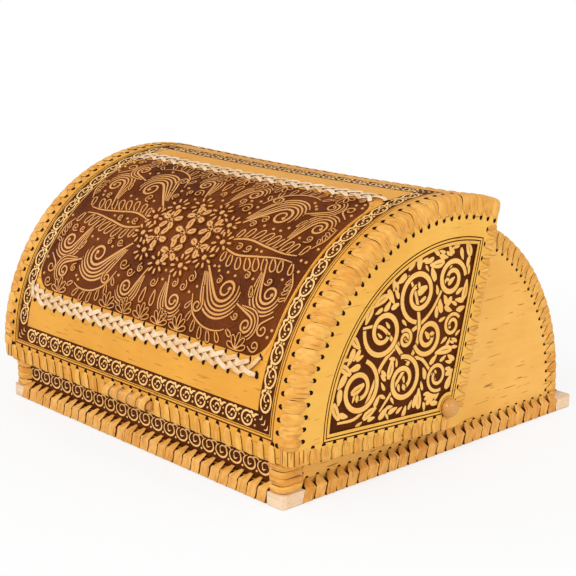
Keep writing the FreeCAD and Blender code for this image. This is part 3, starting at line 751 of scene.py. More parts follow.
def finish_lacing(builder, node, body, look=strips, slot="bark_strip"):
    """Strips and holes in place of a CAD node."""
    builder.finish(node + "_strips", body, [look, hole_mat], slot, [node])


# ---- the lid's shell
ROUND = 6.5                   # the laced corner between shell and side is worn round
BORDER_X = 167.0              # outer edge of the carved frame, either side of the middle
BORDER_S = 19.0               # and from the lid's front edge
BAND = 14.4                   # width of the carved frame
REAR_S = ARC_LENGTH - 46.0    # outer edge of the frame's rear band, which is wider
REAR_BAND = 17.0
CARVED = 0.5                  # depth of the carving
SCORED = 0.35                 # and of the two lines round the frame

# distance inwards from the frame's outer edge at which each zone begins, its depth and material
ZONES = ((-99.0, 0.0, 0), (-4.0, SCORED, 1), (-3.0, 0.0, 0), (-1.6, SCORED, 1), (-0.9, 0.0, 0),
         (0.0, CARVED, 1), (BAND, 0.0, 0))


def zone_at(x, s):
    """Depth and material of the shell's face."""
    inwards = min(BORDER_X - abs(x), s - BORDER_S, (REAR_S - s) * BAND / REAR_BAND)
    return [zone[1:] for zone in ZONES if inwards >= zone[0]][-1]


def grid_lines(low, high, step, edges):
    """Regular lines plus a close pair at each edge where the surface steps."""
    lines = np.linspace(low, high, max(2, int(round((high - low) / step)) + 1))
    clear = [v for v in lines if all(abs(v - e) > 0.35 for e in edges)]
    return sorted(clear + [e + way for e in edges for way in (-0.07, 0.07)])


def lid_skin():
    starts = [z[0] for z in ZONES[1:]]
    turn = LID_X - ROUND
    xs = grid_lines(-turn, turn, 9.0, [sign * (BORDER_X - d) for d in starts for sign in (-1, 1)])
    ss = grid_lines(0.0, ARC_LENGTH, 3.0,
                    [BORDER_S + d for d in starts] + [REAR_S - d * REAR_BAND / BAND for d in starts])
    corner = [(turn + ROUND * math.sin(a), -ROUND * (1 - math.cos(a)))
              for a in np.radians(range(15, 91, 15))]
    tail = [(PLY_X + 0.1, -ROUND), (PLY_X + 0.1, -SHELL_DEPTH)]
    left, left_tail = ([(-x, h) for x, h in reversed(part)] for part in (corner, tail))
    rings = []
    for s in ss:
        ring = left + [(x, -zone_at(x, s)[0]) for x in xs] + corner + tail + left_tail
        rings.append([lid_point(x, s, h) for x, h in ring])
    builder = Builder()
    sweep(builder, rings)
    for i in range(len(ss) - 1):
        for j in range(len(xs) - 1):
            kind = zone_at((xs[j] + xs[j + 1]) / 2, (ss[i] + ss[i + 1]) / 2)[1]
            builder.slots[i * len(rings[0]) + len(left) + j] = kind
    builder.finish("lid_skin", "lid", [bark_x, ground], "birch_bark", ["lid_shell", "lid_lining"], sharp=30)


# ---- running scroll borders
# each unit is drawn round a ring of radius 1: strokes as (path, width, taper), dots as (u, v, size)
FRAME_LINE = 1.9
LID_UNITS, LONG_UNITS, BODY_UNITS = 17, 13, 20
LID_UNIT = (
    (arc(0, 0, 1.0, 58, 366, 28), 1.0, (0.9, 0.9, 0.4)),
    (curve([(0.47, 0.88), (0.86, 1.02), (1.16, 0.50), (1.62, 0.86), (2.05, 0.92)], 4), 1.25, (0.75, 0.4)),
    (curve([(0.78, 0.16), (0.50, 0.44), (0.10, 0.36), (-0.06, 0.02)], 4), 0.9, (0.8, 0.5)),
)
LID_DOTS = ((0.14, -0.42, 0.17), (-0.36, -0.22, 0.15), (0.98, 0.02, 0.12), (1.58, -0.72, 0.15),
            (1.58, 0.10, 0.12))
LONG_UNIT = (
    (arc(0, 0, 1.0, 44, 372, 28), 1.0, (0.9, 0.9, 0.4)),
    (curve([(0.60, 0.82), (0.98, 0.98), (1.22, 0.45), (1.60, 0.72)], 4), 1.2, (0.8, 0.4)),
    (curve([(0.80, 0.18), (0.48, 0.42), (0.12, 0.30), (0.02, -0.06)], 4), 0.85, (0.8, 0.5)),
)
LONG_DOTS = ((0.26, -0.42, 0.15), (-0.30, -0.10, 0.14), (-0.62, 0.10, 0.10), (1.22, -0.55, 0.14),
             (1.22, -0.05, 0.11))
BODY_UNIT = (
    (np.vstack((arc(0, 0, 1.0, 112, 385, 24), arc(0.36, 0.30, 0.62, 22, 205, 8))), 1.8, (0.5, 0.6, 0.5)),
    (curve([(-0.24, 0.25), (-0.12, -0.32), (0.36, -0.12)], 4), 1.6, (0.9, 0.3)),
    (curve([(0.55, 0.92), (1.22, 1.16), (1.70, 0.80)], 4), 1.6, (0.7, 0.7)),
)


def border_unit(relief, at, cx, cy, rx, ry, line, strokes, dots=()):
    """One unit of a running border: its ring at (cx, cy) with the half axes rx and ry."""
    for path, width, ends in strokes:
        relief.stroke([at(cx + rx * u, cy + ry * v) for u, v in path], line * width, taper(len(path), *ends))
    for u, v, size in dots:
        relief.dot(*at(cx + rx * u, cy + ry * v), rx * size)


def lid_borders():
    """The carved frame: 17 scrolls in front and behind, 13 longer ones on each side."""
    relief = Relief(lambda u, v, h: lid_point(u, v, h - CARVED), CARVED + 0.05, 0.15)
    inner, line = 0.8, FRAME_LINE
    width = BAND - 2 * inner
    half = BORDER_X - BAND
    pitch = 2 * half / LID_UNITS
    for i in range(LID_UNITS):
        start = -half + i * pitch
        for at in (lambda u, v: (start + u, BORDER_S + inner + v),
                   lambda u, v: (start + u, REAR_S - inner - v * REAR_BAND / BAND)):
            border_unit(relief, at, pitch * 0.40, width * 0.47, pitch * 0.315,
                        (width - line) / 2 * 0.97, line, LID_UNIT, LID_DOTS)
    low, high = BORDER_S + BAND, REAR_S - REAR_BAND
    pitch = (high - low) / LONG_UNITS
    for side in (-1, 1):
        for i in range(LONG_UNITS):
            start = low + i * pitch
            border_unit(relief, lambda u, v: (side * (BORDER_X - inner - v), start + u), pitch * 0.44,
                        width * 0.5, pitch * 0.40, (width - line) / 2 * 0.96, line, LONG_UNIT, LONG_DOTS)
        for s0, way in ((BORDER_S, 1), (REAR_S, -1)):
            for gap, length in ((3.0, 3.2), (6.2, 3.4), (9.4, 2.6)):
                x, s = side * (BORDER_X - gap), s0 + way * gap
                tick = [(x - side * length, s - way * length * 0.2), (x, s),
                        (x + side * length * 0.2, s + way * length)]
                relief.stroke(curve(tick, 4), 1.4, taper(9, 0.3, 0.3))
    relief.out.finish("lid_border_scrolls", "lid", [relief_bark, ground], "birch_bark")


def body_border():
    """The dark band below the lid with its row of 20 scrolls."""
    low, high = PANEL_TOP - 22.0, PANEL_TOP - 3.2
    builder = Builder()
    section = ((low, -0.3), (low, 0.15), (high, 0.15), (high, -0.3))
    sweep(builder, [[front_point(x, z, h) for z, h in section] for x in np.linspace(-POST_IN, POST_IN, 12)])
    builder.finish("body_border_ground", "base", [ground], "dark_bark")
    relief = Relief(lambda u, v, h: front_point(u, v, h + 0.15), 0.55, 0.1)
    half = POST_IN - 3.0
    pitch = 2 * half / BODY_UNITS
    rx, rz = pitch * 0.41, pitch * 0.315
    cz = high - 2.6 - rz
    for cx in spread(-half, half, BODY_UNITS):
        border_unit(relief, lambda u, v: (u, v), cx, cz, rx, rz, 1.0, BODY_UNIT)
        relief.dot(cx + pitch / 2, cz - rz * 0.95, 1.0)
    relief.stroke([(x, high - 0.5) for x in np.linspace(-POST_IN, POST_IN, 20)], 1.2)
    relief.out.finish("body_border_scrolls", "base", [relief_bark, ground], "birch_bark")


# ---- the lid's carved sides
SIDE_CORNER = np.array((14.0, -18.5))     # lower rear corner of the side, from the pegs
SIDE_CORNER_R = 6.0
WINDOW_INSET = 18.5
WINDOW_R = LINING_R - 33.0
PEG_RING = 12.5
PEG_HOLE = 5.0
SIDE_R = LID_R - ROUND
GROUND_DEPTH = 1.5            # dark ground below the carved face

SIDE_FRONT = LINING_R * np.array((math.cos(FRONT_ANGLE), math.sin(FRONT_ANGLE)))
SIDE_TOP = LINING_R * np.array((math.cos(REAR_ANGLE), math.sin(REAR_ANGLE)))
LOW_WAY = unit(SIDE_FRONT - SIDE_CORNER)      # along the lower edge, towards the front
REAR_WAY = unit(SIDE_TOP - SIDE_CORNER)       # along the rear edge, upwards
LOW_IN = np.array((LOW_WAY[1], -LOW_WAY[0]))  # from the lower edge into the side
REAR_IN = np.array((-REAR_WAY[1], REAR_WAY[0]))


def on_circle(start, way, r):
    """Where the line leaves the circle of radius r round the pegs."""
    b = float(start @ way)
    return start + way * (-b + math.sqrt(b * b - float(start @ start) + r * r))


def sector(inset, radius, ring):
    """Outline inside the side's edges that goes round the peg: always the same number of points."""
    low, rear = SIDE_CORNER + LOW_IN * inset, SIDE_CORNER + REAR_IN * inset
    low_end, rear_end = on_circle(low, LOW_WAY, radius), on_circle(rear, REAR_WAY, radius)
    low_start, rear_start = on_circle(low, LOW_WAY, ring), on_circle(rear, REAR_WAY, ring)
    steps = np.linspace(0, 1, 12, endpoint=False)
    return ([low_start + (low_end - low_start) * t for t in steps]
            + list(arc(0, 0, radius, angle_of(low_end), angle_of(rear_end), 49))[:-1]
            + [rear_end + (rear_start - rear_end) * t for t in steps]
            + list(arc(0, 0, ring, angle_of(rear_start), angle_of(low_start), 9))[:-1])


def side_edge():
    """The side's own outline, with its rounded lower rear corner."""
    setback = SIDE_CORNER_R / math.tan(math.acos(float(LOW_WAY @ REAR_WAY)) / 2)
    low, rear = SIDE_CORNER + LOW_WAY * setback, SIDE_CORNER + REAR_WAY * setback
    low_end, rear_end = on_circle(low, LOW_WAY, SIDE_R), on_circle(rear, REAR_WAY, SIDE_R)
    bend = arc(0, 0, SIDE_R, angle_of(low_end), angle_of(rear_end), 61)
    turn = [(1 - t) ** 2 * rear + 2 * t * (1 - t) * SIDE_CORNER + t ** 2 * low for t in np.linspace(0, 1, 7)]
    return list(bend) + turn


def triangles(*loops):
    """Faces that fill an outline with its openings."""
    return tessellate_polygon([[Vector((a, b, 0.0)) for a, b in loop] for loop in loops])


# the scored lines' edges and the window: inset, how much wider than the window's arc, ring at the peg
SIDE_LOOPS = ((12.6, 5.9, 7.0), (13.6, 4.9, 7.3), (15.1, 3.4, 8.8), (16.1, 2.4, 9.3),
              (WINDOW_INSET, 0.0, PEG_RING))


def side_frame(side, label):
    """The carved ply: a window with two scored lines round it, and a hole for the peg."""
    back = PLY_X - LID_X
    cut = -0.4
    edge, peg = side_edge(), list(arc(0, 0, PEG_HOLE, 0, 360, 21))[:-1]
    outer, outer_in, inner, inner_in, window = (
        sector(inset, WINDOW_R + wider, ring) for inset, wider, ring in SIDE_LOOPS)
    rows = [(outer, 0.0), (outer, cut), (outer_in, cut), (outer_in, 0.0), (inner, 0.0), (inner, cut),
            (inner_in, cut), (inner_in, 0.0), (window, 0.0), (window, back)]
    dark_rows = (0, 1, 2, 4, 5, 6, 8)

    def points(loops_and_levels):
        return [side_point(side, a, b, h) for loop, h in loops_and_levels for a, b in loop]

    builder = Builder()
    count = len(window)
    faces = [face for i in range(len(rows) - 1) for face in between(count, i)]
    builder.add(points(rows), faces)
    for i in dark_rows:
        builder.slots[i * count:(i + 1) * count] = [1] * count
    for loops, h in (((edge, outer, peg), 0.0), ((edge, window, peg), back)):
        builder.add(points((loop, h) for loop in loops), triangles(*loops))
    for loop in (edge, peg):
        builder.add(points(((loop, 0.0), (loop, back))), between(len(loop)))
    builder.finish("lid_side_frame_" + label, "lid", [bark_y, ground], "birch_bark",
                   ["lid_side_carved_" + label], sharp=30, weld=True)


def carved_side(side, label):
    side_frame(side, label)
    window = sector(WINDOW_INSET + 0.02, WINDOW_R - 0.02, PEG_RING + 0.02)
    n = len(window)
    front = [tuple(t) for t in triangles(window)]
    builder = Builder()
    builder.add([side_point(side, a, b, h) for h in (-GROUND_DEPTH, PLY_X - LID_X + 0.05)
                 for a, b in window],
                front + [tuple(i + n for i in t) for t in front] + between(n))
    builder.finish("lid_side_ground_" + label, "lid", [ground], "dark_bark", ["lid_side_backing_" + label],
                   weld=True)
    relief = Relief(lambda a, b, h: side_point(side, a, b, h - GROUND_DEPTH), 0.35, 0.1, 0.006, 1.0, 0.9)
    sector_carving(relief)
    relief.out.finish("lid_side_scrolls_" + label, "lid", [relief_bark_y, ground], "birch_bark")


def window_border(a, b):
    """Distance from a point of the window to its edge."""
    p = np.array((a, b)) - SIDE_CORNER
    r = math.hypot(a, b)
    return min(p @ LOW_IN - WINDOW_INSET, p @ REAR_IN - WINDOW_INSET, WINDOW_R - r, r - PEG_RING)


# the carving: centre and radius of each winding ring, and the stems below them
SCROLLS = ((-98.0, 36.0, 21.5), (-73.0, 75.0, 20.5), (-35.0, 97.0, 21.5), (2.0, 103.0, 16.0),
           (-51.0, 33.0, 19.0), (-24.0, 62.0, 15.5), (-12.5, 28.0, 12.5), (3.5, 66.0, 9.5),
           (-49.0, 65.0, 7.5))
STEMS = (((-124.0, 15.0), (-96.0, 17.0), (-74.0, 50.0), (-50.0, 66.0), (-20.0, 82.0), (6.0, 121.0)),
         ((-97.0, 82.0), (-74.0, 78.0), (-49.0, 50.0), (-30.0, 45.0), (-9.0, 17.0)),
         ((-78.0, 12.0), (-60.0, 30.0), (-36.0, 60.0), (-37.0, 92.0), (-48.0, 116.0)))
STEM_LINE = 5.0


def scroll_ring(relief, centre, r, start, way, line):
    """A band that winds inwards to a round end."""
    coil = spiral(*centre, r, r * 0.32, start, way * 1.45, 44)
    relief.line(coil, line, taper(len(coil), 0.8, 0.8, 0.3))
    relief.dot(*coil[-1], line * 0.58)


def foliage(relief, centre, r, way, line):
    """Leaves that stand off a ring where there is room, all swept the same way."""
    for a in np.arange(0.0, 360.0, 15.0):
        foot = centre + polar(r + line / 2 - 0.8, a)
        degrees = a + way * 48.0
        for length in (19.0, 16.0, 13.0, 10.0, 7.5):
            width = min(7.2, length * 0.44)
            along = [(foot + polar(length * t, degrees), width / 2 * k + 0.9)
                     for t, k in ((0.5, 0.6), (0.8, 1.0), (1.0, 0.7))]
            if all(relief.gap_at(*at)[0] > need and window_border(*at) > need for at, need in along):
                leaf(relief, foot, degrees, length, width, way * length * 0.20)
                break


def sector_carving(relief):
    """Winding rings over three long stems, with foliage between them."""
    for stem in STEMS:
        path = curve(stem, 8)
        relief.line(path, STEM_LINE, taper(len(path), 0.5, 0.5))
    rings = [(np.array((a, b)), r, 1 if i % 2 else -1, 6.0 if r > 14.0 else 4.5)
             for i, (a, b, r) in enumerate(SCROLLS)]
    for i, (centre, r, way, line) in enumerate(rings):
        scroll_ring(relief, centre, r, 70.0 + 97.0 * i, way, line)
    relief.rise = 0.0
    for centre, r, way, line in rings:
        foliage(relief, centre, r, way, line)
    for least, longest, width in ((3.0, 16.0, 6.8), (2.3, 11.0, 5.0), (2.0, 7.5, 3.2)):
        spots = scattered(-WINDOW_R, 32.0, 0.0, WINDOW_R, 1.6)
        fill_gaps(relief, spots, window_border, least, longest, width)


# ---- lacing of the lid
ARC_COUNT = 33
CORNER_COUNT = 6
EDGE_COUNT = 31               # stitches along the lid's front and rear edges
SIDE_LOW_COUNT = 14
SIDE_REAR_COUNT = 13          # pairs
CORNER_S = 11.0               # the arcs' lacing ends here and gives way to the corner's strips
CORNER_TURN = ROUND * math.pi / 2
STATIONS = spread(-LID_X, LID_X, EDGE_COUNT)


def lid_arc_lacing():
    pitch = (ARC_LENGTH - CORNER_S) / ARC_COUNT
    # a dark sheet below the strips: painted shadow that shows in the gaps between them
    below = [(p - 0.55, q + 0.55) for p, q in corner_path(12.0, 14.0, -0.25, ROUND + 0.3)
             if q < 8.0 and p > -10.0]
    sheet = below + [(p - 0.15, q + 0.15) for p, q in reversed(below)]
    for side, label in SIDES:
        def place(d, p, q):
            return about_pegs(side * (LID_X - q), LID_R + p, FRONT_ANGLE - d / LID_R)

        builder = Builder()
        for d in spread(CORNER_S, ARC_LENGTH, ARC_COUNT):
            on_shell = np.interp(d, (CORNER_S, ARC_LENGTH), (14.2, 12.2))
            on_side = np.interp(d, (CORNER_S, 150.0), (11.0, 16.2))
            path = corner_path(on_shell - 1.6, on_side - 1.6, -0.25, ROUND + 0.3)
            lace(builder, place, [d], path, pitch, share=(0.50, 0.54), lean=(2.0, 3.6), thick=1.2,
                 narrow=(0.50, 0.36), jitter=0.3, shape=DOMED,
                 holes=((-2.4, 0.0, on_shell, "a", 2.0, 2.6), (2.4, -on_side, 0.0, "b", 2.0, 2.6)))
        for i in range(CORNER_COUNT):
            corner_strip(builder, side, -3.4 + 4.3 * i)
        finish_lacing(builder, "lacing_lid_arc_" + label, "lid")
        # the sheet of painted shadow under the strips
        builder = Builder()
        sweep(builder, [[place(d, p, q) for p, q in sheet] for d in np.linspace(0.6, ARC_LENGTH - 0.3, 60)])
        builder.finish("lid_arc_shadow_" + label, "lid", [arc_shadow_paint], "dark_bark")


def corner_strip(builder, side, w):
    """A strip down the lid's front lower corner; w runs round it from where the corner begins to bend."""
    a = min(max(w / ROUND, 0.0), math.pi / 2)
    outward = np.array((side * math.sin(a), -math.cos(a), 0.0))
    centre, normal = [], []
    for s, lift in ((CORNER_S + 1.5, -0.9), (CORNER_S, 0.10), (CORNER_S * 0.5, 0.15), (2.2, 0.15),
                    (0.8, 0.05), (0.15, -0.7), (0.1, -2.4)):
        r = ROUND + lift
        x = LID_X - ROUND + min(w, 0.0) + r * math.sin(a)
        h = r * math.cos(a) - ROUND - max(0.0, w - CORNER_TURN)
        centre.append(lid_point(side * x, s, h))
        normal.append(outward if s > 0.5 else np.array((0.0, 0.0, -1.0)))
    strap(builder, centre, normal, np.full(len(centre), 1.95), 0.85, DOMED)


def lid_edge_lacing():
    inside = [x for x in STATIONS if abs(x) < SIDE_X - 2.0]
    beside_grip = [x for x in inside if abs(x) >= cad("lid_grip", 1, 0)]
    for name, place, stations, back, reach in (
        ("front", lambda d, p, q: lid_point(d, q, p), beside_grip, RIM_DEPTH, 8.5),
        ("rear", lambda d, p, q: lid_point(d, ARC_LENGTH - q, p), inside, SHELL_DEPTH, 11.0),
    ):
        builder = Builder()
        lace(builder, place, stations, clip_path(11.5, back, reach, 0.2, 1.1), 2 * LID_X / EDGE_COUNT,
             share=(0.29, 0.34), lean=(1.0, 3.0), thick=1.15, narrow=(0.62, 0.7), jitter=0.5,
             holes=((-0.8, 0.0, 12.9, "a", 2.2, 2.4),), tilt=0.1, belly=0.1, reach=0.16, shape=DOMED)
        finish_lacing(builder, "lacing_lid_" + name, "lid")


def lid_side_lacing():
    depth = LID_X - SIDE_X
    for side, label in SIDES:
        def low(d, p, q):
            return side_point(side, *(SIDE_CORNER + LOW_WAY * d + LOW_IN * q), p)

        def rear(d, p, q):
            return side_point(side, *(SIDE_CORNER + REAR_WAY * d + REAR_IN * q), p)

        builder = Builder()
        start, end = SIDE_CORNER_R + 5.5, np.linalg.norm(SIDE_FRONT - SIDE_CORNER) - 13.0
        lace(builder, low, spread(start, end, SIDE_LOW_COUNT), clip_path(10.5, depth, 5.8, 0.15, 1.1),
             (end - start) / SIDE_LOW_COUNT, share=(0.36, 0.43), lean=(-5.0, -3.0), thick=0.8,
             narrow=(0.40, 0.6), holes=((2.2, 0.0, 11.5, "a", 2.1, 1.7),), tilt=0.1, belly=0.2, reach=0.2)
        finish_lacing(builder, "lacing_side_bottom_" + label, "lid")

        builder = Builder()
        start, end = SIDE_CORNER_R + 8.0, np.linalg.norm(SIDE_TOP - SIDE_CORNER) - 14.0
        path = corner_path(9.5, depth - 1.0, 0.15, 1.2)
        for d in spread(start, end, SIDE_REAR_COUNT):
            for way in (-1, 1):
                stitch(builder, rear, d + way * 2.6, path, random.uniform(1.35, 1.75),
                       way * random.uniform(2.6, 4.2), 0.7, (0.6, 0.6), belly=0.35)
            hole(builder, rear, d, 0.0, 10.0, "a", 2.2, 1.5)
        finish_lacing(builder, "lacing_side_rear_" + label, "lid")


# ---- lacing of the body and the laths
BACK_COUNT = 27
LATH_COUNTS = (30, 27)        # strips along the front and rear laths, and along the side laths
POST_COUNT = 4
BACK_Y, BACK_Z = PIVOT_Y - 5.5, PIVOT_Z - 19.5      # centre of the back's arc
BACK_R = REAR_WALL - BACK_Y
BACK_FRONT = PIVOT_Y + 16.0                         # front edge of the back shell


def back_lacing():
    crown = BACK_R * math.acos((BACK_FRONT - BACK_Y) / BACK_R)
    foot = WRAP_TOP + 1.5 - BACK_Z
    for side, label in SIDES:
        def place(d, p, q):
            """Along the back's arc; below its centre the back is upright."""
            a, below = max(d, 0.0) / BACK_R, min(d, 0.0)
            return np.array((side * (WALL_X - q), BACK_Y + (BACK_R + p) * math.cos(a),
                             BACK_Z + (BACK_R + p) * math.sin(a) + below))

        builder = Builder()
        lace(builder, place, spread(foot, crown, BACK_COUNT), corner_path(12.0, 12.0, 0.05, 2.2),
             (crown - foot) / BACK_COUNT, share=(0.49, 0.53), lean=(-3.5, -1.5), thick=1.3,
             narrow=(0.28, 0.22), reach=0.3, shape=DOMED,
             holes=((-1.4, -13.2, 0.0, "b", 1.7, 2.1), (1.4, 0.0, 13.2, "a", 1.7, 2.1)))
        finish_lacing(builder, "lacing_back_" + label, "base")


def lath_wraps():
    """Strips from the walls over the laths, and a dark sheet on each lath's top between them, painted shade.
    """
    drop, rise = LATH_TOP - 1.5, WRAP_TOP - LATH_TOP
    bare_side = POST_BACK + 0.5 - LATH_FRONT
    across = (-POST_IN, POST_IN)
    for name, place, (start, end), count, depth in (
        ("front", lambda d, p, q: np.array((d, LATH_FRONT + q, LATH_TOP + p)), across, LATH_COUNTS[0],
         WALL_FRONT - LATH_FRONT),
        ("rear", lambda d, p, q: np.array((-d, LATH_REAR - q, LATH_TOP + p)), across, LATH_COUNTS[0],
         LATH_REAR - REAR_WALL),
        ("right", lambda d, p, q: np.array((HALF_WIDTH - q, d, LATH_TOP + p)),
         (LATH_FRONT + bare_side, LATH_REAR - bare_side), LATH_COUNTS[1], HALF_WIDTH - WALL_X),
        ("left", lambda d, p, q: np.array((-HALF_WIDTH + q, -d, LATH_TOP + p)),
         (bare_side - LATH_REAR, -LATH_FRONT - bare_side), LATH_COUNTS[1], HALF_WIDTH - WALL_X),
    ):
        builder = Builder()
        lace(builder, place, spread(start, end, count), lath_path(depth, drop, rise),
             (end - start) / count, share=(0.43, 0.47), lean=(-6.5, -5.0), thick=0.75,
             narrow=(0.28, 0.92), jitter=0.5, reach=0.42,
             holes=((2.6, rise + 0.9, depth, "b", 1.9, 1.4),))
        finish_lacing(builder, "lacing_base_" + name, "base", lath_strips)
        # a dark sheet on the lath's top: painted shade in the gaps under the slanting strips
        builder = Builder()
        low = 1.6 - LATH_TOP
        section = ((depth, -0.3), (depth, 0.2), (-0.12, 0.12), (-0.12, low), (0.3, low), (0.3, -0.3))
        sweep(builder, [[place(d, h, q) for q, h in section]
                        for d in np.linspace(start + 0.5, end - 0.5, 8)])
        builder.finish("lath_cover_" + name, "base", [ground], "dark_bark")


def post_wraps():
    """Bark strips wound round each corner post, from the front panel to the body's side."""
    low, high = cad("post_wrap_right", 0, 2), cad("post_wrap_right", 1, 2)
    pitch = (high - low) / POST_COUNT
    out = 0.15
    path = rounded_path([(WALL_FRONT + 0.9, POST_IN - 4.6), (WALL_FRONT - 0.3, POST_IN - 3.4),
                         (POST_FRONT - out, POST_IN + 1.5), (POST_FRONT - out, POST_OUT + out),
                         (POST_BACK - 1.5, POST_OUT + out), (POST_BACK + 3.4, WALL_X + 0.3),
                         (POST_BACK + 4.6, WALL_X - 0.9)], [1.5, 2.5, 7.0, 2.5, 1.5])
    for side, label in SIDES:
        builder = Builder()
        for level in spread(low, high, POST_COUNT):
            wrap(builder, lambda d, p, q: np.array((side * q, p, d)), level, path, pitch * 0.50,
                 random.uniform(-2.2, 2.2), 1.5)
            for place in (lambda d, p, q: np.array((side * (POST_IN - 4.4 + q), WALL_FRONT - p, level + d)),
                          lambda d, p, q: np.array((side * (WALL_X + p), POST_BACK + 4.4 + q, level + d))):
                hole(builder, place, 0.0, 0.0, 0.0, "a", 2.2, 1.3)
        finish_lacing(builder, "post_wrap_" + label, "base")


# ---- the grip and the pegs
def grip():
    """The stick on the lid's front edge, with the edge's strips wound round it."""
    low, high = cad("lid_grip", 0, 2), cad("lid_grip", 1, 2)
    half, face, front = cad("lid_grip", 1, 0), cad("lid_grip", 1, 1), cad("lid_grip", 0, 1)
    middle, tall, deep = (low + high) / 2, (high - low) / 2, face - front

    def section(a, shrink):
        return face - deep * shrink * math.sin(a) ** 0.8, middle + tall * shrink * math.cos(a)

    builder = Builder()
    angles = [math.pi * i / 12 for i in range(13)]
    sweep(builder, [[(x, *section(a, (1.0 - 0.45 * abs(x / half) ** 6) * 0.94)) for a in angles]
                    for x in np.linspace(-half, half, 15)])
    builder.finish("lid_grip_stick", "lid", [knob_wood], "bare_wood", ["lid_grip"])
    path = ([(face + 1.4, middle + tall * 1.50), (face + 0.2, middle + tall * 1.28)]
            + [section(a, 0.98) for a in angles[1:-1]] + [(face - 0.4, middle - tall * 1.05)])
    builder = Builder()
    for x in STATIONS:
        if abs(x) < half:
            wrap(builder, lambda d, p, q: np.array((d, p, q)), x - 0.8, np.array(path),
                 random.uniform(3.6, 4.2), random.uniform(-4.0, -2.5), 1.0)
            for shift, q, half_d, half_q in ((0.9, 14.6, 2.0, 2.0), (3.6, 10.4, 1.5, 1.8)):
                hole(builder, lambda d, p, q: lid_point(d, q, p), x + shift, 0.0, q, "a", half_d, half_q)
    finish_lacing(builder, "grip_lashing", "lid")


def pegs():
    """Turned wooden pegs with domed heads, on which the lid swings."""
    tip = cad("hinge_pegs", 1, 0)
    reach = (cad("hinge_pegs", 1, 2) - cad("hinge_pegs", 0, 2)) / 2
    inner, rise = 156.0, 7.0
    profile = [(inner, PEG_R - 0.8), (inner + 0.8, PEG_R), (tip - rise - 0.2, PEG_R),
               (tip - rise, reach - 0.5)]
    profile += [(tip - rise * (1 - math.sin(a) ** 1.1), reach * math.cos(a) ** 0.62)
                for a in np.radians((4, 14, 26, 38, 50, 61, 70, 78, 84, 88))]
    builder = Builder()
    for side in (1, -1):
        sweep(builder, [[about_pegs(side * x, r, a) for a in np.linspace(0, 2 * math.pi, 33)[:-1]]
                        for x, r in profile])
    builder.finish("hinge_peg_knobs", "base", [knob_wood], "bare_wood", ["hinge_pegs"], sharp=50)


# ---- the tooled panel
PANEL_X = 152.0
PANEL_S = (63.0, 236.0)
PANEL_THICK = 0.5
PANEL_CORNER = 24.0
GROUND_X, GROUND_CORNER = PANEL_X - 1.2, PANEL_CORNER - 3.0
GROUND_S = (PANEL_S[0] + 6.5, PANEL_S[1] - 5.5)      # the dark ground on the panel
GROUND_MID = (GROUND_S[0] + GROUND_S[1]) / 2
GROUND_TOP = PANEL_THICK + 0.12
DAISIES, ROSES, FANS = 11, 6, 11                     # rings of flowers, and fans along each long edge


def rounded_half_width(s, low, high, half, r):
    """Half width at s of a rectangle with rounded corners."""
    short = max(0.0, r - min(s - low, high - s))
    return half - r + math.sqrt(max(0.0, r * r - short * short))


def rounded_sheet(name, low, high, half, r, base, top, material, slot, replaced=()):
    """A thin sheet on the lid with rounded corners."""
    bend = r * (1 - np.cos(np.linspace(0, math.pi / 2, 9)))
    stations = sorted(list(low + bend) + list(np.linspace(low + r, high - r, 46))[1:-1] + list(high - bend))
    rings = []
    for s in stations:
        w = rounded_half_width(s, low, high, half, r)
        rings.append([lid_point(x, s, top) for x in np.linspace(-w, w, 21)]
                     + [lid_point(x, s, base) for x in np.linspace(w, -w, 21)])
    builder = Builder()
    sweep(builder, rings)
    builder.finish(name, "lid", [material], slot, replaced, sharp=30)


def centre_panel():
    rounded_sheet("lid_panel_sheet", *PANEL_S, PANEL_X, PANEL_CORNER, -0.2, PANEL_THICK, bark_x,
                  "birch_bark", ["lid_centre_panel"])
    rounded_sheet("lid_panel_ground", *GROUND_S, GROUND_X, GROUND_CORNER, PANEL_THICK - 0.2, GROUND_TOP,
                  panel_brown, "dark_bark")
    relief = Relief(lambda u, v, h: lid_point(u, v, GROUND_TOP + h), 0.12, 0.08, 0.010, 0.90, 0.6)
    panel_tooling(relief)
    relief.out.finish("lid_panel_tooling", "lid", [tooled, panel_brown], "birch_bark")


def panel_border(u, v):
    """Distance from a point of the dark ground to its edge."""
    low, high = GROUND_S
    if not low < v < high:
        return -1.0
    return min(rounded_half_width(v, low, high, GROUND_X, GROUND_CORNER) - abs(u), v - low, high - v)


def daisy(relief, at, r, petals, turn):
    relief.dot(*at, r * 0.22)
    for i in range(petals):
        degrees = turn + 360.0 * i / petals
        leaf(relief, at + polar(r * 0.34, degrees), degrees, r * 0.64, r * 0.30)


def rose(relief, at, r, turn):
    """Five broad petals with a small ring of dots round the heart."""
    for i in range(5):
        degrees = turn + 72.0 * i
        foot = at + polar(r * 0.22, degrees)
        path = [foot + polar(r * 0.72 * t, degrees) for t in np.linspace(0, 1, 8)]
        relief.line(path, r * 0.66, taper(8, 0.35, 0.55, 0.62))
        line = [at + polar(r * k, degrees) for k in np.linspace(0.42, 0.80, 4)]
        relief.stroke(line, r * 0.10, taper(4, 0.4, 0.6), relief.layer + 0.12, True)
    for i in range(6):
        relief.dot(*(at + polar(r * 0.24, turn + 60.0 * i)), r * 0.085)
    relief.dot(*at, r * 0.11)


def plume(relief, foot, centre, r, way, lines, line):
    """A scroll with combed lines that leave its foot together and bend round its back."""
    foot, centre = np.array(foot, float), np.array(centre, float)
    for k in range(lines, 0, -1):
        reach = r + line * 1.55 * k
        start = coil_start(foot - centre, reach, way, 0.98)
        path = lead_in(foot, spiral(*centre, reach, reach * 0.86, start, way * (0.60 - 0.05 * k), 18))
        relief.line(path, line, taper(len(path), 0.3, 0.3, 0.6))
    scroll(relief, foot, centre, r, way, line * 1.35, 1.45)


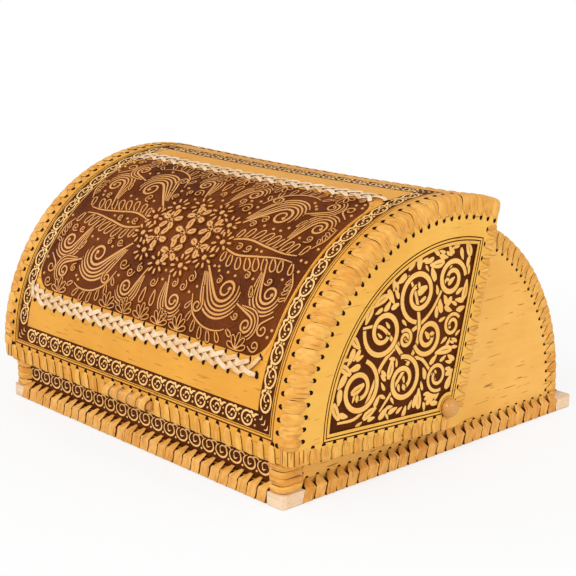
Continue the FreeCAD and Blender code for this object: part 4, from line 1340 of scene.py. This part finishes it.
def fringe(relief, points, count, size, line):
    """A stem with a row of loops along its left side."""
    stem = curve(points, 8)
    for i, k in enumerate(np.linspace(3, len(stem) - 5, count).astype(int)):
        degrees = angle_of(unit(stem[k + 1] - stem[k])) + 62.0
        long = size * (0.65 + 0.35 * math.sin(math.pi * (i + 1) / (count + 1)))
        petal(relief, stem[k], degrees, long, long * 0.52, line)
    relief.line(stem, line * 1.5, taper(len(stem), 0.6, 0.3, 0.3))


def fan_leaf(relief, at, degrees, size, line, count, open_angle):
    for i in range(count):
        way = open_angle * (i / (count - 1) - 0.5)
        petal(relief, at, degrees + way, size * (1.0 - 0.18 * abs(way) / 75.0), size * 0.40, line)


def curls(relief, spots, least):
    """Small spirals with a tail where the tooling leaves room."""
    for u, v in spots:
        room = min(relief.gap_at(u, v)[0], panel_border(u, v))
        if room > least:
            way = random.choice((-1, 1))
            foot = np.array((u, v)) + polar(min(room * 0.98, 9.0), angle_of((-u, 150.0 - v)) + 40.0 * way)
            scroll(relief, foot, (u, v), min(6.2, room * 0.70), way, 2.0, 1.2)


def mirrored(relief, draw):
    """Repeats a drawing in the four quarters of the panel, from its middle outwards."""
    layer = relief.layer
    for su in (1, -1):
        for sv in (1, -1):
            quarter = Relief(lambda u, v, h: relief.place(su * u, GROUND_MID + sv * v, h), relief.height,
                             relief.sink, relief.rise, relief.highest, relief.edge)
            quarter.layer, quarter.out = layer, relief.out
            draw(quarter)
            relief.taken.extend((su * u, GROUND_MID + sv * v, r) for u, v, r in quarter.taken)
            relief.layer = quarter.layer


def panel_quarter(relief):
    """Plumes, scrolls and fringed stems between the panel's middle and one corner."""
    fringe(relief, [(50.0, 3.0), (72.0, 8.0), (96.0, 5.0), (120.0, 2.5), (146.0, 5.0)], 9, 15.0, 1.7)
    plume(relief, (46.0, 18.0), (83.0, 38.0), 11.0, -1, 4, 2.4)
    plume(relief, (108.0, 8.0), (129.0, 33.0), 8.8, -1, 3, 2.2)
    plume(relief, (14.0, 38.0), (31.0, 58.0), 8.0, -1, 3, 2.0)
    fringe(relief, [(50.0, 48.0), (58.0, 62.0), (74.0, 70.0), (92.0, 70.0), (108.0, 62.0)], 7, 11.0, 1.5)
    plume(relief, (101.0, 46.0), (119.0, 60.0), 7.2, 1, 2, 2.0)
    scroll(relief, (58.0, 40.0), (60.0, 56.0), 6.0, 1, 2.3, 1.2)
    scroll(relief, (144.0, 48.0), (138.0, 60.0), 6.0, -1, 2.2, 1.1)
    fringe(relief, [(140.0, 12.0), (147.0, 24.0), (147.0, 42.0)], 4, 8.0, 1.4)
    petal(relief, (6.0, 54.0), 85.0, 13.0, 6.5, 1.8)
    petal(relief, (107.0, 30.0), 60.0, 10.0, 5.2, 1.7)


def panel_tooling(relief):
    """Fans along the edges, daisies and roses in the middle, curls and dots in what is left."""
    mirrored(relief, panel_quarter)
    low, high = GROUND_S
    for i in range(FANS):
        x = -117.0 + 23.4 * i
        for edge, way in ((low, 1), (high, -1)):
            if relief.gap_at(x, edge + way * 6.0)[0] > 0.5:
                fan_leaf(relief, (x, edge + way * 1.4), 90.0 * way, 13.0, 1.6, 5, 140.0)
    middle = np.array((0.0, GROUND_MID))
    for i in range(DAISIES):
        daisy(relief, middle + polar(36.0, i * 360.0 / DAISIES) * (1.34, 0.88), 11.8, 9, i * 30.0)
    for i in range(ROSES):
        rose(relief, middle + polar(21.0, i * 60.0 + 30.0) * (1.42, 0.92), 12.5, i * 45.0)
    rose(relief, middle, 13.0, 20.0)
    spots = scattered(-PANEL_X, PANEL_X, low, high, 4.0)
    curls(relief, spots, 4.4)
    relief.rise = 0.0
    fill_gaps(relief, spots, panel_border, 3.0, 2.6, 1.3)


# ---- the panel's braids
BRAID_ROWS = 5.5              # holes either side of the braid's middle
BRAID_PITCH = 14.4
BRAID_HALF = 132.0            # half length of the straight stretch
BRAID_BEND = 26.0             # radius at the panel's corners
BRAID_TURN = math.radians(50.0)
STRAND_RUN, STRAND_CLIMB = 21.5, 9.2
STRAND_HALF, STRAND_THICK = 1.9, 0.75
# a strand comes out of its hole, lies over the others and goes under them: share of its run, height
STRAND_PLACES = (0.0, 0.07, 0.38, 0.52, 0.66, 1.0)
STRAND_HEIGHTS = (-0.9, 1.05, 1.35, 1.05, 0.25, 0.15)


def braid(node, middle, inwards):
    """A herringbone of flat strips; its ends bend round the panel's corners."""
    half_run = BRAID_HALF + BRAID_BEND * BRAID_TURN

    def place(t, w, h):
        """At the run t from the middle, w to its left and h above the panel's edge."""
        a = max(0.0, abs(t) - BRAID_HALF) / BRAID_BEND
        side = 1.0 if t >= 0 else -1.0
        straight = min(abs(t), BRAID_HALF)
        at = np.array((side * (straight + BRAID_BEND * math.sin(a)),
                       middle + inwards * BRAID_BEND * (1 - math.cos(a))))
        x, s = at + np.array((-side * inwards * math.sin(a), math.cos(a))) * w
        return lid_point(x, s, PANEL_THICK + h)

    builder = Builder()
    count = int(2 * half_run / BRAID_PITCH)
    first = half_run - (2 * half_run - (count - 0.5) * BRAID_PITCH - 4.0) / 2
    for i in range(count + 1):
        for row in (1, -1):
            start = first - i * BRAID_PITCH - (0 if row > 0 else BRAID_PITCH / 2)
            length = min(STRAND_RUN, start + half_run + 4.0)
            if start < -half_run or length < 8.0:
                continue
            centre, up, half_width = [], [], []
            for k in np.linspace(0.0, 1.0, 18):
                t = start - length * k
                w = row * (BRAID_ROWS - STRAND_CLIMB / STRAND_RUN * length * k)
                centre.append(place(t, w, np.interp(length * k / STRAND_RUN, STRAND_PLACES, STRAND_HEIGHTS)))
                up.append(unit(place(t, w, 2.0) - place(t, w, 0.0)))
                half_width.append(STRAND_HALF * min(1.0, 0.75 + k * 3.0))
            strap(builder, centre, up, half_width, STRAND_THICK)
            # a dark slit where the strand goes in: painted shade
            lens(builder, lambda u, v, h: place(start + 0.9 + u, row * (BRAID_ROWS + 0.3) + v, h), 1.6, 3.2,
                 ((1.0, -0.3), (0.95, 0.1), (0.5, 0.14)))
    finish_lacing(builder, node, "lid", braid_mat, "braid")


# ---- finishes of the kept CAD nodes
KEPT_NODES = (
    (bark_x, ("back_shell", "front_panel")),
    (bark_y, ("lid_side_right", "lid_side_left")),
    (bark_body, ("body_side_right", "body_side_left")),
    (wood_x, ("base_lath_front", "base_lath_rear", "lid_rim_lath", "back_shell_rim", "base_board")),
    (wood_y, ("base_lath_left", "base_lath_right", "corner_post_left", "corner_post_right", "hinge_blocks")),
    (knob_wood, ("hinge_spacers",)),
)


def dress():
    for mat, names in KEPT_NODES:
        for name in names:
            mesh = frame["nodes"][name].data
            mesh.materials.clear()
            mesh.materials.append(mat)


# ---- put together
bpy.context.scene.view_settings.view_transform = "Standard"
make_camera()
make_world()
make_lamps()
make_floor()
lid_skin()
lid_borders()
body_border()
for side_way, side_label in SIDES:
    carved_side(side_way, side_label)
lid_arc_lacing()
lid_edge_lacing()
lid_side_lacing()
back_lacing()
lath_wraps()
post_wraps()
grip()
pegs()
centre_panel()
braid("front_braid", PANEL_S[0] - 2.0, 1.0)
braid("rear_braid", PANEL_S[1] + 1.0, -1.0)
dress()
